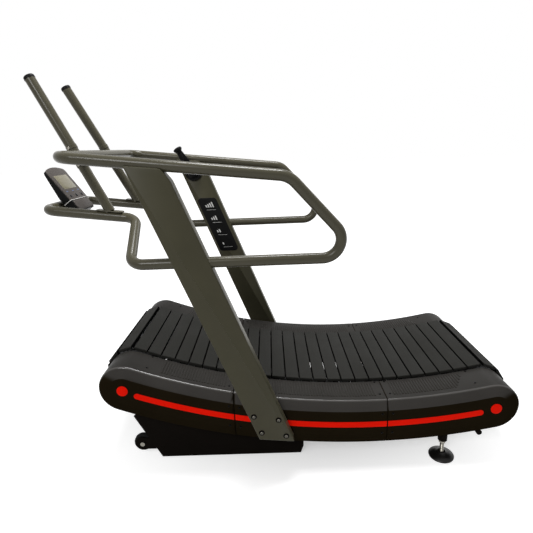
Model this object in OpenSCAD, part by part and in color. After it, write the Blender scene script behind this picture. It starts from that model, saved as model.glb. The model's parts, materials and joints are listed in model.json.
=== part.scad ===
// Curved manual treadmill: a slat belt that the runner drives, two curved side plates, moulded covers,
// leaning uprights, bent handrails, push bars, a small console and a lever for the magnetic resistance.
// X runs to the rear, the left side is -Y, Z is up. The origin is on the floor under the middle of the whole.

/* [Deck curve] */
// Radius of the curve through both axles
curve_r = 2560; // [2300:10:2900]
// Height of the lowest point of that curve
curve_low = 193; // [180:1:230]
// Angle of the front axle from the lowest point
front_ang = 21.4; // [20:0.1:22.4]
// Angle of the rear axle from the lowest point
rear_ang = 11.1; // [10:0.1:12]

/* [Slat belt] */
// Number of slats round the loop
slat_count = 60; // [54:1:62]
// Length of a slat across the deck
slat_len = 458; // [420:2:470]
// Thickness of a slat
slat_t = 12; // [10:0.5:14]
// Gap between two slats on the flat
slat_gap = 4; // [3:0.5:6]
// Radius of the drum pulleys
pulley_r = 90; // [86:1:92]
// Width of a carrier belt
carrier_w = 30; // [20:1:36]

/* [Covers] */
// Half of the height of the covers
cover_h = 95; // [92:1:98]
// Width of the deck over both covers
deck_w = 758; // [746:2:780]
// Wall thickness of the covers
cover_t = 4; // [3:0.5:5]
// Height of the slanted band under the footrail
band_h = 44; // [30:1:50]
// How far the slanted band leans out
band_out = 13; // [8:1:20]
// Width of the red strip in the side wall
strip_w = 24; // [16:1:30]

/* [Uprights] */
// Width of an upright, front to rear
upright_w = 120; // [110:1:130]
// Thickness of an upright
upright_t = 46; // [45:1:52]
// Lean of the uprights towards the front
upright_lean = 20.8; // [19:0.1:22]

/* [Handrails] */
// Outer diameter of the tubes
tube_d = 38; // [34:0.5:39]
// Height of the lower rail
rail_low_z = 870; // [850:5:890]
// Height of the upper rail at its front end
rail_top_z = 1236; // [1220:2:1250]
// Distance between the two tubes of the front loop
loop_w = 350; // [330:2:390]
// Height of the top of the push bars
push_top_z = 1510; // [1450:5:1560]
// Lean of the push bars towards the front
push_lean = 26; // [24:0.5:28]
// Lean of the push bars towards each other
push_in = 3.4; // [0:0.1:5]

/* [Console] */
// Width of the console
console_w = 160; // [140:2:180]
// Length of the console along its face
console_len = 158; // [150:2:170]
// Lean of the console towards the front
console_lean = 34.9; // [33:0.5:37]

/* [Floor] */
// Diameter of a foot pad
pad_d = 98; // [80:1:110]
// Radius of a transport wheel
wheel_r = 38; // [34:1:41]

/* [Hidden] */
$fn = 72;
// Gaps: round loose pieces, round turning ones, between pressed or welded ones, and round the upper rail
fit = 0.3;
running_fit = 0.08;
touch = 0.05;
rail_gap = 0.1;
// How far a cut runs past a face, and how far joined bodies reach into each other
lap = 1;
// Further than anything in the object reaches
far = 2000;

// Deck
curve_cz = curve_low + curve_r;
pitch_off = pulley_r + 3;
belt_in = pulley_r;
belt_out = pulley_r + 6;
slat_out = belt_out + slat_t;
turn = front_ang + rear_ang;
top_run = (curve_r - pitch_off) * turn * PI / 180;
half_run = pitch_off * PI;
low_run = (curve_r + pitch_off) * turn * PI / 180;
loop_len = top_run + low_run + 2 * half_run;
pitch = loop_len / slat_count;
slat_w = pitch - slat_gap;
// How far the hollow curve of the belt rises from the middle of a flat slat to its edge
slat_dip = pow(slat_w / 2, 2) / (2 * (curve_r - belt_out));
front_axle = [-curve_r * sin(front_ang), curve_cz - curve_r * cos(front_ang)];
rear_axle = [curve_r * sin(rear_ang), curve_cz - curve_r * cos(rear_ang)];
carrier_y = 175;
carrier_end = 2;
shaft_r = 12.5;
shaft_clear = 6;

// Covers, from the belt outwards
cover_in = slat_len / 2 + 4;
cover_out = deck_w / 2;
edge_y = cover_out - band_out;
lip = 6;
foot_flange = 8;
seam_front = -513;
seam_rear = 78;
seam_gap = 0.6;
strip_low = 4;
strip_t = 1.6;
strip_front = 1.05;
strip_rear = 1.1;
groove = 2;
cap_r = 21.5;
cap_t = 2.5;
screw_beside = 20;
screw_offs = [-40, 44];
// Screws on top of the footrails, beside the seams and near both ends
top_screw_ys = [cover_in + 8, cover_in + 95];
top_screw_xs = [
    front_axle[0] + 88,
    seam_front - screw_beside, seam_front + screw_beside,
    seam_rear - screw_beside, seam_rear + screw_beside,
    rear_axle[0] - 65
];

// Side plates
plate_y = 250;
plate_t = 6;
plate_out = plate_y + plate_t;
plate_h = 78;
roller_r = 15;
roller_clear = 0.4;
roller_off = belt_out - roller_r - roller_clear;
roller_count = 20;
roller_y = 204;
roller_w = 18;
stud_r = 5;
roller_end = 2;
boss_r = 10;
bolt_r = 6;

// Base
base_y = 298;
base_t = 4;
base_z = 6;
base_front = -835;
base_rear = -255;
wheel_at = [base_front - 77, 72];
wheel_w = 22;
wheel_side = 2;
lug_l = 70;
lug_h = 52;
sleeve_r = 18;
sleeve_gap = 3;
foot_x = 315;
foot_y = edge_y - foot_flange - sleeve_gap - sleeve_r;
stud_foot_r = 8;
bearing_t = 20;
shaft_end = plate_out + bearing_t + 4;

// Uprights stand against the side walls of the covers
upright_y = cover_out;
upright_foot_off = 53.8;
upright_foot_ang = -7.74;
upright_foot = arc_pt(curve_r + upright_foot_off, upright_foot_ang);
upright_wall = 3;
rail_y = upright_y + upright_t / 2;
lean_u = [cos(upright_lean), sin(upright_lean)];
lean_v = [-sin(upright_lean), cos(upright_lean)];
bolt_slope = 0.61;
bolt_us = [-40, 40];
bolt_vs = [31, 107];

// Tubes
tube_r = tube_d / 2;
tube_wall = 2.5;
rail_fall = 0.116;
cross_x = -1037;
slant_top_x = -282;
rail_rear_x = -33;
riser_foot_x = -832;
riser_top_x = -863;
loop_x = -1215;
loop_fall = 0.125;
loop_ref = [-1077, 1022];
loop_y = loop_w / 2;
push_ahead = 26;
bend_r = 64;
slant_bend_r = 80;
loop_bend_r = 50;
rail_in = 4;

// Lever, hub and resistance
hub_at = up_pt(-4, 1042);
hub_r = 43;
hub_t = 14;
hub_pin_r = 8;
lever_len = 112;
lever_ang = 30.5;
lever_t = 14;
knob_r = 22;
wheel_fly_r = 72;
fly_y = 290;
fly_t = 12;
fly_end = 6;
yoke_at = front_axle + [105, -19.5];
yoke_pin_r = 5;
cable_r = 2.5;
cable_hole = up_pt(0, 95);
cable_hole_r = cable_r + 2;
cable_stop_y = 312;
cable_stop = yoke_at + [51, 22];

// Console, in the frame of its face
console_at = [-1128, 1032];
console_foot = 40;
console_top = console_foot + console_len;
console_thin = 12;
console_thick = 36;
screen_w = 100;
screen_h = 66;
screen_z = 91;
screen_deep = 3;
screen_t = 2.4;
button_r = 8;
button_z = 57;
button_bore = 8;
button_ys = [-50, 0, 50];

// A point on a circle about the curve's centre, at angle a from the lowest point
function arc_pt(r, a) = [r * sin(a), curve_cz - r * cos(a)];
function rail_z(x) = rail_top_z - rail_fall * (x - cross_x);
function loop_z(x) = loop_ref[1] - loop_fall * (x - loop_ref[0]);
function up_pt(u, v) = upright_foot + u * lean_u + v * lean_v;
function upright_mid_x(z) = upright_foot[0] - (z - upright_foot[1]) * tan(upright_lean);
// Middle of guide roller i of the row along the curve
function roller_pt(i) =
    arc_pt(curve_r - roller_off, -front_ang + roller_end + (turn - 2 * roller_end) * i / (roller_count - 1));
// Height of a circle below the deck at x, off outside the axle curve
function under_z(x, off) = curve_cz - sqrt(pow(curve_r + off, 2) - x * x);
// Length along the upright, at distance u from its middle line, where it meets the upper rail
function rail_v(u) =
    (rail_top_z - rail_fall * (upright_foot[0] + u * lean_u[0] - cross_x) - upright_foot[1] - u * lean_u[1])
    / (lean_v[1] + rail_fall * lean_v[0]);
// Where a push bar that passes just ahead of the upper cross tube stands on the loop tube
function push_foot() =
    let (
        t = tan(push_lean),
        drop = rail_top_z - loop_ref[1] - loop_fall * loop_ref[0] - tube_r
    )
    (cross_x - push_ahead + drop * t) / (1 - loop_fall * t);
push_foot_x = push_foot();
push_foot_z = loop_z(push_foot_x) + tube_r;
push_len = (push_top_z - push_foot_z) / cos(push_lean);
bolt_pts = [for (u = bolt_us) for (v = bolt_vs) up_pt(u, v - u * bolt_slope)];

// The part of the loop that a slat at length s belongs to. A slat less than half a pitch past the end of a
// run still lies along that run, so the slats on a drum turn clear of both runs.
function slat_group(s) =
    s <= top_run + pitch / 2 ? "top"
    : s <= top_run + half_run - pitch / 2 ? "rear"
    : s <= top_run + half_run + low_run + pitch / 2 ? "return" : "front";
// Place of a slat at length s round the loop: x, z and turn about Y
function slat_place(s) =
    let (group = slat_group(s))
    group == "top" ? on_top(s)
    : group == "rear" ? round_axle(rear_axle, -rear_ang, s - top_run)
    : group == "return" ? on_return(s - top_run - half_run)
    : round_axle(front_axle, 180 + front_ang, s - top_run - half_run - low_run);
function on_top(s) =
    let (a = -front_ang + s / (curve_r - pitch_off) * 180 / PI)
    concat(arc_pt(curve_r - pitch_off, a), [-a]);
function on_return(s) =
    let (a = rear_ang - s / (curve_r + pitch_off) * 180 / PI)
    concat(arc_pt(curve_r + pitch_off, a), [180 - a]);
function round_axle(axle, start, s) =
    let (t = start + s / pitch_off * 180 / PI)
    concat(axle + pitch_off * [sin(t), cos(t)], [t]);
function slat_corner_x(p, u, h) = p[0] + u * cos(p[2]) + h * sin(p[2]);

// The whole is centred over its own length
x_front = console_at[0] - console_thin * cos(console_lean) - console_top * sin(console_lean);
x_rear = max([for (i = [0 : slat_count - 1]) for (u = [-slat_w / 2, slat_w / 2])
    slat_corner_x(slat_place(i * pitch), u, slat_out - pitch_off)]);
mid_x = (x_front + x_rear) / 2;

// Outline of the deck at a distance off from the axle curve, as a closed list of points
function deck_outline(off, n = 40, m = 16) = concat(
    [for (i = [0 : n]) arc_pt(curve_r - off, -front_ang + turn * i / n)],
    [for (i = [1 : m - 1]) rear_axle + off * [sin(180 * i / m - rear_ang), cos(180 * i / m - rear_ang)]],
    [for (i = [0 : n]) arc_pt(curve_r + off, rear_ang - turn * i / n)],
    [for (i = [1 : m - 1]) front_axle
        - off * [sin(180 * i / m + front_ang), cos(180 * i / m + front_ang)]]);

// Bent tubes: straight runs between corners, with an arc of radius r at each corner
function unit(v) = v / norm(v);
function bend(a, b, c, r, n) =
    let (
        u = unit(a - b),
        w = unit(c - b),
        half = acos(u * w) / 2,
        p = b + u * r / tan(half),
        mid = b + unit(u + w) * r / sin(half),
        e = unit(p - mid)
    )
    [for (i = [0 : n]) let (t = (180 - 2 * half) * i / n) mid + r * (cos(t) * e - sin(t) * u)];
function route(pts, radii, n) = concat(
    [pts[0]],
    [for (i = [1 : len(pts) - 2]) each bend(pts[i - 1], pts[i], pts[i + 1], radii[i - 1], n)],
    [pts[len(pts) - 1]]);
function heading(p, i) = unit(p[min(i + 1, len(p) - 1)] - p[max(i - 1, 0)]);
function across(v, t) = unit(v - (v * t) * t);
function normals(p, i, v) =
    i >= len(p) ? [] : let (w = across(v, heading(p, i))) concat([w], normals(p, i + 1, w));
function rings(p, r, k, start) =
    let (n = normals(p, 0, start))
    [for (i = [0 : len(p) - 1]) let (t = heading(p, i), b = cross(t, n[i]))
        for (j = [0 : k - 1]) p[i] + r * (cos(360 * j / k) * n[i] + sin(360 * j / k) * b)];
function skin(m, k, base, flip) =
    [for (i = [0 : m - 2]) for (j = [0 : k - 1])
        let (a = base + i * k + j, b = base + i * k + (j + 1) % k)
        flip ? [b, a, a + k, b + k] : [a, b, b + k, a + k]];
function ring_cap(k, o, s, flip) =
    [for (j = [0 : k - 1]) let (n = (j + 1) % k)
        flip ? [o + n, o + j, s + j, s + n] : [o + j, o + n, s + n, s + j]];

module hollow_tube(p, r, wall, start, k = 16) {
    m = len(p);
    last = (m - 1) * k;
    polyhedron(
        points = concat(rings(p, r, k, start), rings(p, r - wall, k, start)),
        faces = concat(
            skin(m, k, 0, true),
            skin(m, k, m * k, false),
            ring_cap(k, 0, m * k, false),
            ring_cap(k, last, m * k + last, true)));
}

module solid_tube(p, r, start, k = 8) {
    m = len(p);
    polyhedron(
        points = rings(p, r, k, start),
        faces = concat(
            skin(m, k, 0, true),
            [[for (j = [0 : k - 1]) j]],
            [[for (j = [k - 1 : -1 : 0]) (m - 1) * k + j]]));
}

// Places and small shapes
module placed() {
    translate([-mid_x, 0, 0]) children();
}

module both_sides() {
    children();
    mirror([0, 1, 0]) children();
}

module right_side() {
    mirror([0, 1, 0]) children();
}

// A flat shape in X and Z, drawn out to the left from distance y0 to y1 from the middle
module slab(y0, y1) {
    translate([0, -y0, 0]) rotate([90, 0, 0]) linear_extrude(y1 - y0) children();
}

// A round bar along Y, on the left, from distance y0 to y1
module bar(at, r, y0, y1) {
    translate([at[0], -y0, at[1]]) rotate([90, 0, 0]) cylinder(r = r, h = y1 - y0);
}

// A profile of radius and distance from the middle, turned about an axis along Y
module turned(at, from, sweep) {
    translate([at[0], 0, at[1]]) rotate([90, 0, 0]) rotate_extrude(angle = sweep, start = from, $fn = 180)
        children();
}

module on_curve(from, to) {
    turned([0, curve_cz], from - 90, to - from) children();
}

module at_slat(s) {
    p = slat_place(s);
    translate([p[0], 0, p[1]]) rotate([0, p[2], 0]) children();
}

// Slat belt
module slat() {
    translate([-slat_w / 2, -slat_len / 2, belt_out - pitch_off]) cube([slat_w, slat_len, slat_t]);
}

module slats(group) {
    color([0.13, 0.13, 0.14])
        placed()
            for (i = [0 : slat_count - 1])
                if (slat_group(i * pitch) == group)
                    at_slat(i * pitch) slat();
}

module carrier_section(r0, r1) {
    translate([r0, carrier_y - carrier_w / 2]) square([r1 - r0, carrier_w]);
}

module carrier_arc(r0, r1) {
    gap = carrier_end / curve_r * 180 / PI;
    on_curve(-front_ang + gap, rear_ang - gap) carrier_section(r0, r1);
}

module carrier_turn(axle, from) {
    gap = carrier_end / pitch_off * 180 / PI;
    turned(axle, from + gap, 180 - 2 * gap) carrier_section(belt_in + fit, belt_out - slat_dip - touch);
}

module slats_top() { slats("top"); }
module slats_rear() { slats("rear"); }
module slats_return() { slats("return"); }
module slats_front() { slats("front"); }

module carriers_top() {
    color([0.08, 0.08, 0.08])
        placed()
            both_sides()
                carrier_arc(curve_r - belt_out + slat_dip + touch, curve_r - belt_in - fit);
}

module carriers_return() {
    color([0.08, 0.08, 0.08])
        placed()
            both_sides()
                carrier_arc(curve_r + belt_in + fit, curve_r + belt_out);
}

module carriers_front() {
    color([0.08, 0.08, 0.08])
        placed()
            both_sides()
                carrier_turn(front_axle, 90 - front_ang);
}

module carriers_rear() {
    color([0.08, 0.08, 0.08])
        placed()
            both_sides()
                carrier_turn(rear_axle, rear_ang - 90);
}

// Drums, shafts and bearings
module drum(axle) {
    core_r = 45;
    pulley_w = 44;
    core_half = carrier_y + pulley_w / 2;
    color([0.55, 0.56, 0.57])
        placed()
            difference() {
                union() {
                    bar(axle, core_r, -core_half, core_half);
                    both_sides()
                        bar(axle, pulley_r - fit, carrier_y - pulley_w / 2, carrier_y + pulley_w / 2);
                }
                bar(axle, shaft_r + touch, -core_half - lap, core_half + lap);
            }
}

module front_drum() { drum(front_axle); }
module rear_drum() { drum(rear_axle); }

module front_shaft() {
    color([0.7, 0.7, 0.72])
        placed()
            bar(front_axle, shaft_r, -fly_y - fly_t - fly_end, shaft_end);
}

module rear_shaft() {
    color([0.7, 0.7, 0.72])
        placed()
            bar(rear_axle, shaft_r, -shaft_end, shaft_end);
}

module bearing_unit(axle) {
    flange = 84;
    flange_t = 9;
    boss = 33;
    difference() {
        union() {
            slab(plate_out, plate_out + flange_t)
                translate(axle) square(flange, center = true);
            bar(axle, boss, plate_out + flange_t - lap, plate_out + bearing_t);
        }
        bar(axle, shaft_r + running_fit, plate_out - lap, plate_out + bearing_t + lap);
    }
}

module bearing_units() {
    color([0.3, 0.32, 0.33])
        placed()
            both_sides() {
                bearing_unit(front_axle);
                bearing_unit(rear_axle);
            }
}

module flywheel() {
    hub = 26;
    web_r = 58;
    web_t = 6;
    color([0.75, 0.76, 0.78])
        placed()
            right_side()
                difference() {
                    bar(front_axle, wheel_fly_r, fly_y, fly_y + fly_t);
                    difference() {
                        bar(front_axle, web_r, fly_y + web_t, fly_y + fly_t + lap);
                        bar(front_axle, hub, fly_y, fly_y + fly_t + 2 * lap);
                    }
                    bar(front_axle, shaft_r + touch, fly_y - lap, fly_y + fly_t + lap);
                }
}

// Frame
module side_plate() {
    difference() {
        union() {
            slab(plate_y, plate_out) polygon(deck_outline(plate_h));
            for (i = [0 : roller_count - 1])
                bar(roller_pt(i), stud_r, roller_y - lap, plate_y + lap);
            for (p = bolt_pts)
                bar(p, boss_r, plate_out - lap, cover_out - cover_t);
        }
        for (axle = [front_axle, rear_axle])
            bar(axle, shaft_r + shaft_clear, plate_y - lap, plate_out + lap);
        for (p = bolt_pts)
            bar(p, bolt_r + fit, plate_y - lap, cover_out);
    }
}

module side_plate_left() {
    color([0.16, 0.16, 0.17]) placed() side_plate();
}

module side_plate_right() {
    stop_w = 12;
    stop_h = 24;
    stop_out = cable_stop_y + 10;
    pin_out = cable_stop_y + 6;
    color([0.16, 0.16, 0.17])
        placed()
            right_side()
                union() {
                    side_plate();
                    bar(yoke_at, yoke_pin_r, plate_out - lap, pin_out);
                    slab(plate_out - lap, stop_out)
                        translate(cable_stop - [stop_w, stop_h / 2]) square([stop_w, stop_h]);
                }
}

module cross_tubes() {
    tube_h = 60;
    tube_w = 40;
    wall = 3;
    angles = [-16, -5.2, 0.6, 6.5];
    color([0.16, 0.16, 0.17])
        placed()
            for (a = angles)
                translate([arc_pt(curve_r, a)[0], plate_y, arc_pt(curve_r, a)[1]])
                    rotate([90, -a, 0])
                        linear_extrude(2 * plate_y)
                            difference() {
                                square([tube_w, tube_h], center = true);
                                square([tube_w - 2 * wall, tube_h - 2 * wall], center = true);
                            }
}

module guide_rollers() {
    color([0.5, 0.5, 0.52])
        placed()
            both_sides()
                for (i = [0 : roller_count - 1])
                    difference() {
                        bar(roller_pt(i), roller_r, roller_y, roller_y + roller_w);
                        bar(roller_pt(i), stud_r + touch, roller_y - 2 * lap, roller_y + roller_w + lap);
                    }
}

// Base
module wheel_lug(y0, y1) {
    lug_r = 30;
    slab(y0, y1)
        difference() {
            union() {
                translate(wheel_at) circle(lug_r);
                translate(wheel_at - [0, lug_h / 2]) square([lug_l, lug_h]);
            }
            translate(wheel_at) circle(bolt_r + fit);
        }
}

module base_side() {
    flange_w = 40;
    flange_in = 2;
    front_slope = 0.486;
    front_z = 205;
    rear_lap = 38;
    side_lap = 66;
    dip_lap = 5;
    spacer_up = 36;
    lug_y = base_y - wheel_w - 8;
    spacer_r = 12;
    lug_back = wheel_at[0] + wheel_r + 5;
    heel = 12;
    heel_z = 40;
    tab_front = base_front + 40;
    tab_rear = base_rear - 290;
    dip = base_rear - 225;
    nose = base_front - 10;
    spacer_xs = [tab_front - 5, tab_rear - 25];
    spacer_rear = base_rear - 10;
    union() {
        slab(base_y, base_y + base_t)
            polygon([
                [base_front, base_z],
                [base_rear, base_z],
                [base_rear + heel, heel_z],
                [base_rear + heel, under_z(base_rear, plate_h) + rear_lap],
                [dip, under_z(dip, plate_h) + dip_lap],
                [tab_rear, under_z(tab_rear, plate_h) + side_lap],
                [tab_front, under_z(tab_front, plate_h) + side_lap],
                [nose, under_z(nose, plate_h) + rear_lap],
                [base_front - front_z * front_slope, front_z]
            ]);
        wheel_lug(base_y, base_y + base_t);
        wheel_lug(lug_y, lug_y + base_t);
        slab(lug_y, base_y + base_t)
            translate([lug_back, wheel_at[1] - lug_h / 2]) square([base_t, lug_h]);
        slab(base_y - flange_w, base_y + lap)
            translate([base_front + flange_in, base_z])
                square([base_rear - base_front - 2 * flange_in, base_t]);
        for (x = spacer_xs)
            bar([x, under_z(x, plate_h) + spacer_up], spacer_r, plate_out, base_y + lap);
        bar([spacer_rear, under_z(spacer_rear, plate_h) + spacer_r + 4], spacer_r, plate_out, base_y + lap);
    }
}

module base_left() {
    color([0.07, 0.07, 0.08]) placed() base_side();
}

module base_right() {
    color([0.07, 0.07, 0.08]) placed() right_side() base_side();
}

module base_bars() {
    bar_w = 40;
    bar_h = 30;
    bar_in = 35;
    color([0.07, 0.07, 0.08])
        placed()
            for (x = [base_front + bar_in, base_rear - bar_in - bar_w])
                slab(-base_y, base_y)
                    translate([x, base_z + base_t]) square([bar_w, bar_h]);
}

module base_pads() {
    rubber_r = 17;
    rubber_in = 55;
    rubber_y = base_y - 20;
    color([0.04, 0.04, 0.04])
        placed()
            for (x = [base_front + rubber_in, base_rear - rubber_in])
                for (y = [-rubber_y, rubber_y])
                    translate([x, y, 0]) cylinder(r = rubber_r, h = base_z);
}

module transport_wheel() {
    difference() {
        bar(wheel_at, wheel_r, base_y - wheel_w - wheel_side, base_y - wheel_side);
        bar(wheel_at, bolt_r + running_fit, base_y - wheel_w - wheel_side - lap, base_y);
    }
}

module transport_wheel_left() {
    color([0.1, 0.1, 0.1]) placed() transport_wheel();
}

module transport_wheel_right() {
    color([0.1, 0.1, 0.1]) placed() right_side() transport_wheel();
}

module wheel_bolts() {
    head_r = 9.5;
    head_t = 5;
    inner_end = 10;
    color([0.5, 0.5, 0.52])
        placed()
            both_sides()
                union() {
                    bar(wheel_at, bolt_r, base_y - wheel_w - inner_end, base_y + base_t + lap);
                    bar(wheel_at, head_r, base_y + base_t, base_y + base_t + head_t);
                }
}

// Rear feet
module foot_sleeves() {
    sleeve_z = 78;
    arm_z = under_z(foot_x, plate_h) + 3;
    arm_h = 14;
    arm_w = 34;
    color([0.07, 0.07, 0.08])
        placed()
            both_sides()
                difference() {
                    union() {
                        translate([foot_x, -foot_y, sleeve_z])
                            cylinder(r = sleeve_r, h = arm_z + arm_h - sleeve_z);
                        slab(plate_out, foot_y)
                            translate([foot_x - arm_w / 2, arm_z]) square([arm_w, arm_h]);
                    }
                    translate([foot_x, -foot_y, sleeve_z - lap])
                        cylinder(r = stud_foot_r + fit, h = arm_z + arm_h);
                }
}

module foot_nuts() {
    nut_z = 66;
    nut_h = 12;
    nut_r = 14;
    color([0.6, 0.6, 0.62])
        placed()
            both_sides()
                translate([foot_x, -foot_y, nut_z])
                    difference() {
                        cylinder(r = nut_r, h = nut_h, $fn = 6);
                        translate([0, 0, -lap]) cylinder(r = stud_foot_r + fit, h = nut_h + 2 * lap);
                    }
}

module foot() {
    rim_h = 8;
    dome_h = 24;
    neck_r = 15;
    stud_top = 140;
    translate([foot_x, -foot_y, 0])
        rotate_extrude()
            polygon([
                [0, 0],
                [pad_d / 2 - 2, 0],
                [pad_d / 2, 2],
                [pad_d / 2, rim_h],
                [neck_r + 4, dome_h - 4],
                [neck_r, dome_h],
                [stud_foot_r, dome_h],
                [stud_foot_r, stud_top],
                [0, stud_top]
            ]);
}

module foot_left() {
    color([0.1, 0.1, 0.1]) placed() foot();
}

module foot_right() {
    color([0.1, 0.1, 0.1]) placed() right_side() foot();
}

module lift_handle() {
    grip_x = 465;
    grip_drop = 28;
    grip_at = [grip_x, under_z(grip_x, slat_out) - grip_drop];
    grip_r = 11;
    arm_w = 30;
    arm_t = 8;
    arm_low = 4;
    arm_lap = 40;
    arm_h = under_z(grip_x, plate_h) - grip_at[1] + arm_lap;
    grip_half = 330;
    color([0.07, 0.07, 0.08])
        placed()
            union() {
                bar(grip_at, grip_r, -grip_half, grip_half);
                both_sides()
                    slab(plate_out, plate_out + arm_t)
                        translate(grip_at - [arm_w / 2, arm_low]) square([arm_w, arm_h]);
            }
}

// Covers
module wall_profile(edge, low) {
    t = cover_t;
    polygon([
        [edge, cover_in],
        [edge, edge_y],
        [edge + band_h, cover_out],
        [low - band_h, cover_out],
        [low, edge_y],
        [low, edge_y - foot_flange],
        [low - t, edge_y - foot_flange],
        [low - t, edge_y - t],
        [low - band_h - lap, cover_out - t],
        [edge + band_h + lap, cover_out - t],
        [edge + t, edge_y - t],
        [edge + t, cover_in + t],
        [edge + lip, cover_in + t],
        [edge + lip, cover_in]
    ]);
}

module cover_end(axle, from) {
    t = cover_t;
    end_r = cover_h - touch;
    overlap = 1;
    turned(axle, from - overlap, 180 + 2 * overlap)
        polygon([
            [end_r, cover_in],
            [end_r, edge_y],
            [end_r - band_h, cover_out],
            [0, cover_out],
            [0, cover_out - t],
            [end_r - band_h - lap, cover_out - t],
            [end_r - t, edge_y - t],
            [end_r - t, cover_in + t],
            [end_r - lip, cover_in + t],
            [end_r - lip, cover_in]
        ]);
}

module cover_band() {
    on_curve(-front_ang, rear_ang)
        wall_profile(curve_r - cover_h, curve_r + cover_h);
}

module strip_band(r0, y0, y1) {
    on_curve(-front_ang + strip_front, rear_ang - strip_rear)
        translate([curve_r + strip_low - strip_w / 2 - r0, y0]) square([strip_w + 2 * r0, y1 - y0]);
}

module between(x0, x1) {
    intersection() {
        children();
        translate([x0, -deck_w, 0]) cube([x1 - x0, 2 * deck_w, far]);
    }
}

module cover_shell(x0, x1) {
    difference() {
        between(x0 + seam_gap / 2, x1 - seam_gap / 2)
            children();
        strip_band(fit, cover_out - groove, cover_out + lap);
    }
}

module cover_front() {
    cover_shell(-far, seam_front)
        union() {
            cover_band();
            cover_end(front_axle, 90 - front_ang);
        }
}

module cover_middle() {
    difference() {
        cover_shell(seam_front, seam_rear) cover_band();
        for (p = bolt_pts)
            bar(p, bolt_r + fit, cover_out - 2 * cover_t, cover_out + lap);
    }
}

module cover_rear() {
    cover_shell(seam_rear, far)
        union() {
            cover_band();
            cover_end(rear_axle, rear_ang - 90);
        }
}

module cover_front_left() {
    color([0.15, 0.15, 0.16]) placed() cover_front();
}

module cover_front_right() {
    color([0.15, 0.15, 0.16]) placed() right_side() cover_front();
}

module cover_middle_left() {
    color([0.15, 0.15, 0.16]) placed() cover_middle();
}

module cover_middle_right() {
    color([0.15, 0.15, 0.16])
        placed()
            right_side()
                difference() {
                    cover_middle();
                    bar(cable_hole, cable_hole_r, cover_out - 2 * cover_t, cover_out + lap);
                }
}

module cover_rear_left() {
    color([0.15, 0.15, 0.16]) placed() cover_rear();
}

module cover_rear_right() {
    color([0.15, 0.15, 0.16]) placed() right_side() cover_rear();
}

module red_strips() {
    seams = [-far, seam_front, seam_rear, far];
    color([0.85, 0.08, 0.03])
        placed()
            both_sides()
                for (i = [0 : 2])
                    between(seams[i] + seam_gap, seams[i + 1] - seam_gap)
                        strip_band(0, cover_out - groove, cover_out - groove + strip_t);
}

module axle_caps() {
    color([0.85, 0.08, 0.03])
        placed()
            both_sides() {
                bar(front_axle, cap_r, cover_out, cover_out + cap_t);
                bar(rear_axle, cap_r, cover_out, cover_out + cap_t);
            }
}

// A place on top of a footrail, y from the middle
module on_footrail(x, y) {
    r = curve_r - cover_h;
    a = asin(x / r);
    p = arc_pt(r - touch, a);
    translate([p[0], -y, p[1]]) rotate([0, -a, 0]) children();
}

module cover_screws() {
    head_r = 4.5;
    head_t = 2;
    color([0.05, 0.05, 0.05])
        placed()
            both_sides() {
                for (seam = [seam_front, seam_rear])
                    for (x = [seam - screw_beside, seam + screw_beside])
                        for (off = screw_offs)
                            bar([x, under_z(x, off)], head_r, cover_out, cover_out + head_t);
                for (x = top_screw_xs)
                    for (y = top_screw_ys)
                        on_footrail(x, y) cylinder(r = head_r, h = head_t);
            }
}

// Uprights
module upright_shape(inset) {
    half = upright_w / 2 - inset;
    corner_h = 40;
    corner_w = 14;
    foot_slope = 0.5;
    polygon([
        up_pt(-half, inset + half * foot_slope),
        up_pt(half, inset - half * foot_slope),
        up_pt(half, rail_v(half) - corner_h - inset),
        up_pt(half - corner_w, rail_v(half - corner_w) - inset),
        up_pt(-half, rail_v(-half) - inset)
    ]);
}

module upright() {
    reach = 400;
    weld_down = 8;
    difference() {
        slab(upright_y, upright_y + upright_t) upright_shape(0);
        slab(upright_y + upright_wall, upright_y + upright_t - upright_wall) upright_shape(upright_wall);
        for (p = bolt_pts)
            bar(p, bolt_r + fit, upright_y - lap, upright_y + upright_t + lap);
        translate([-far, -rail_y, rail_low_z]) rotate([0, 90, 0]) cylinder(r = tube_r + fit, h = far);
        translate([cross_x, -rail_y, rail_top_z])
            rotate([0, 90 + atan(rail_fall), 0])
                translate([0, 0, -reach]) cylinder(r = tube_r + rail_gap, h = 4 * reach);
        translate([cross_x - reach, -rail_y - upright_t, rail_top_z + reach * rail_fall])
            rotate([0, atan(rail_fall), 0])
                translate([0, 0, -weld_down]) cube([4 * reach, 2 * upright_t, reach]);
    }
}

module upright_left() {
    color([0.25, 0.24, 0.19]) placed() upright();
}

module upright_right() {
    color([0.25, 0.24, 0.19])
        placed()
            right_side()
                difference() {
                    upright();
                    for (p = [cable_hole, hub_at])
                        bar(p, cable_hole_r, upright_y - lap, upright_y + upright_wall + lap);
                }
}

module upright_bolts() {
    bolt_end = 10;
    washer_r = 11;
    washer_t = 1.5;
    head_r = 9.5;
    head_t = 6;
    outer = upright_y + upright_t;
    color([0.12, 0.12, 0.12])
        placed()
            both_sides()
                for (p = bolt_pts)
                    union() {
                        bar(p, bolt_r, plate_y - bolt_end, outer + washer_t + lap);
                        bar(p, washer_r, outer, outer + washer_t);
                        bar(p, head_r, outer + washer_t, outer + washer_t + head_t);
                    }
}

module level_plate() {
    plate_w = 98;
    top = 1003;
    low = 723;
    t = 1.5;
    ahead = 2;
    x_top = upright_mid_x(top) - ahead;
    x_low = upright_mid_x(low) - ahead;
    color([0.05, 0.05, 0.05])
        placed()
            right_side()
                slab(upright_y - t, upright_y)
                    polygon([
                        [x_low - plate_w / 2, low],
                        [x_low + plate_w / 2, low],
                        [x_top + plate_w / 2, top],
                        [x_top - plate_w / 2, top]
                    ]);
}

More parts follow.
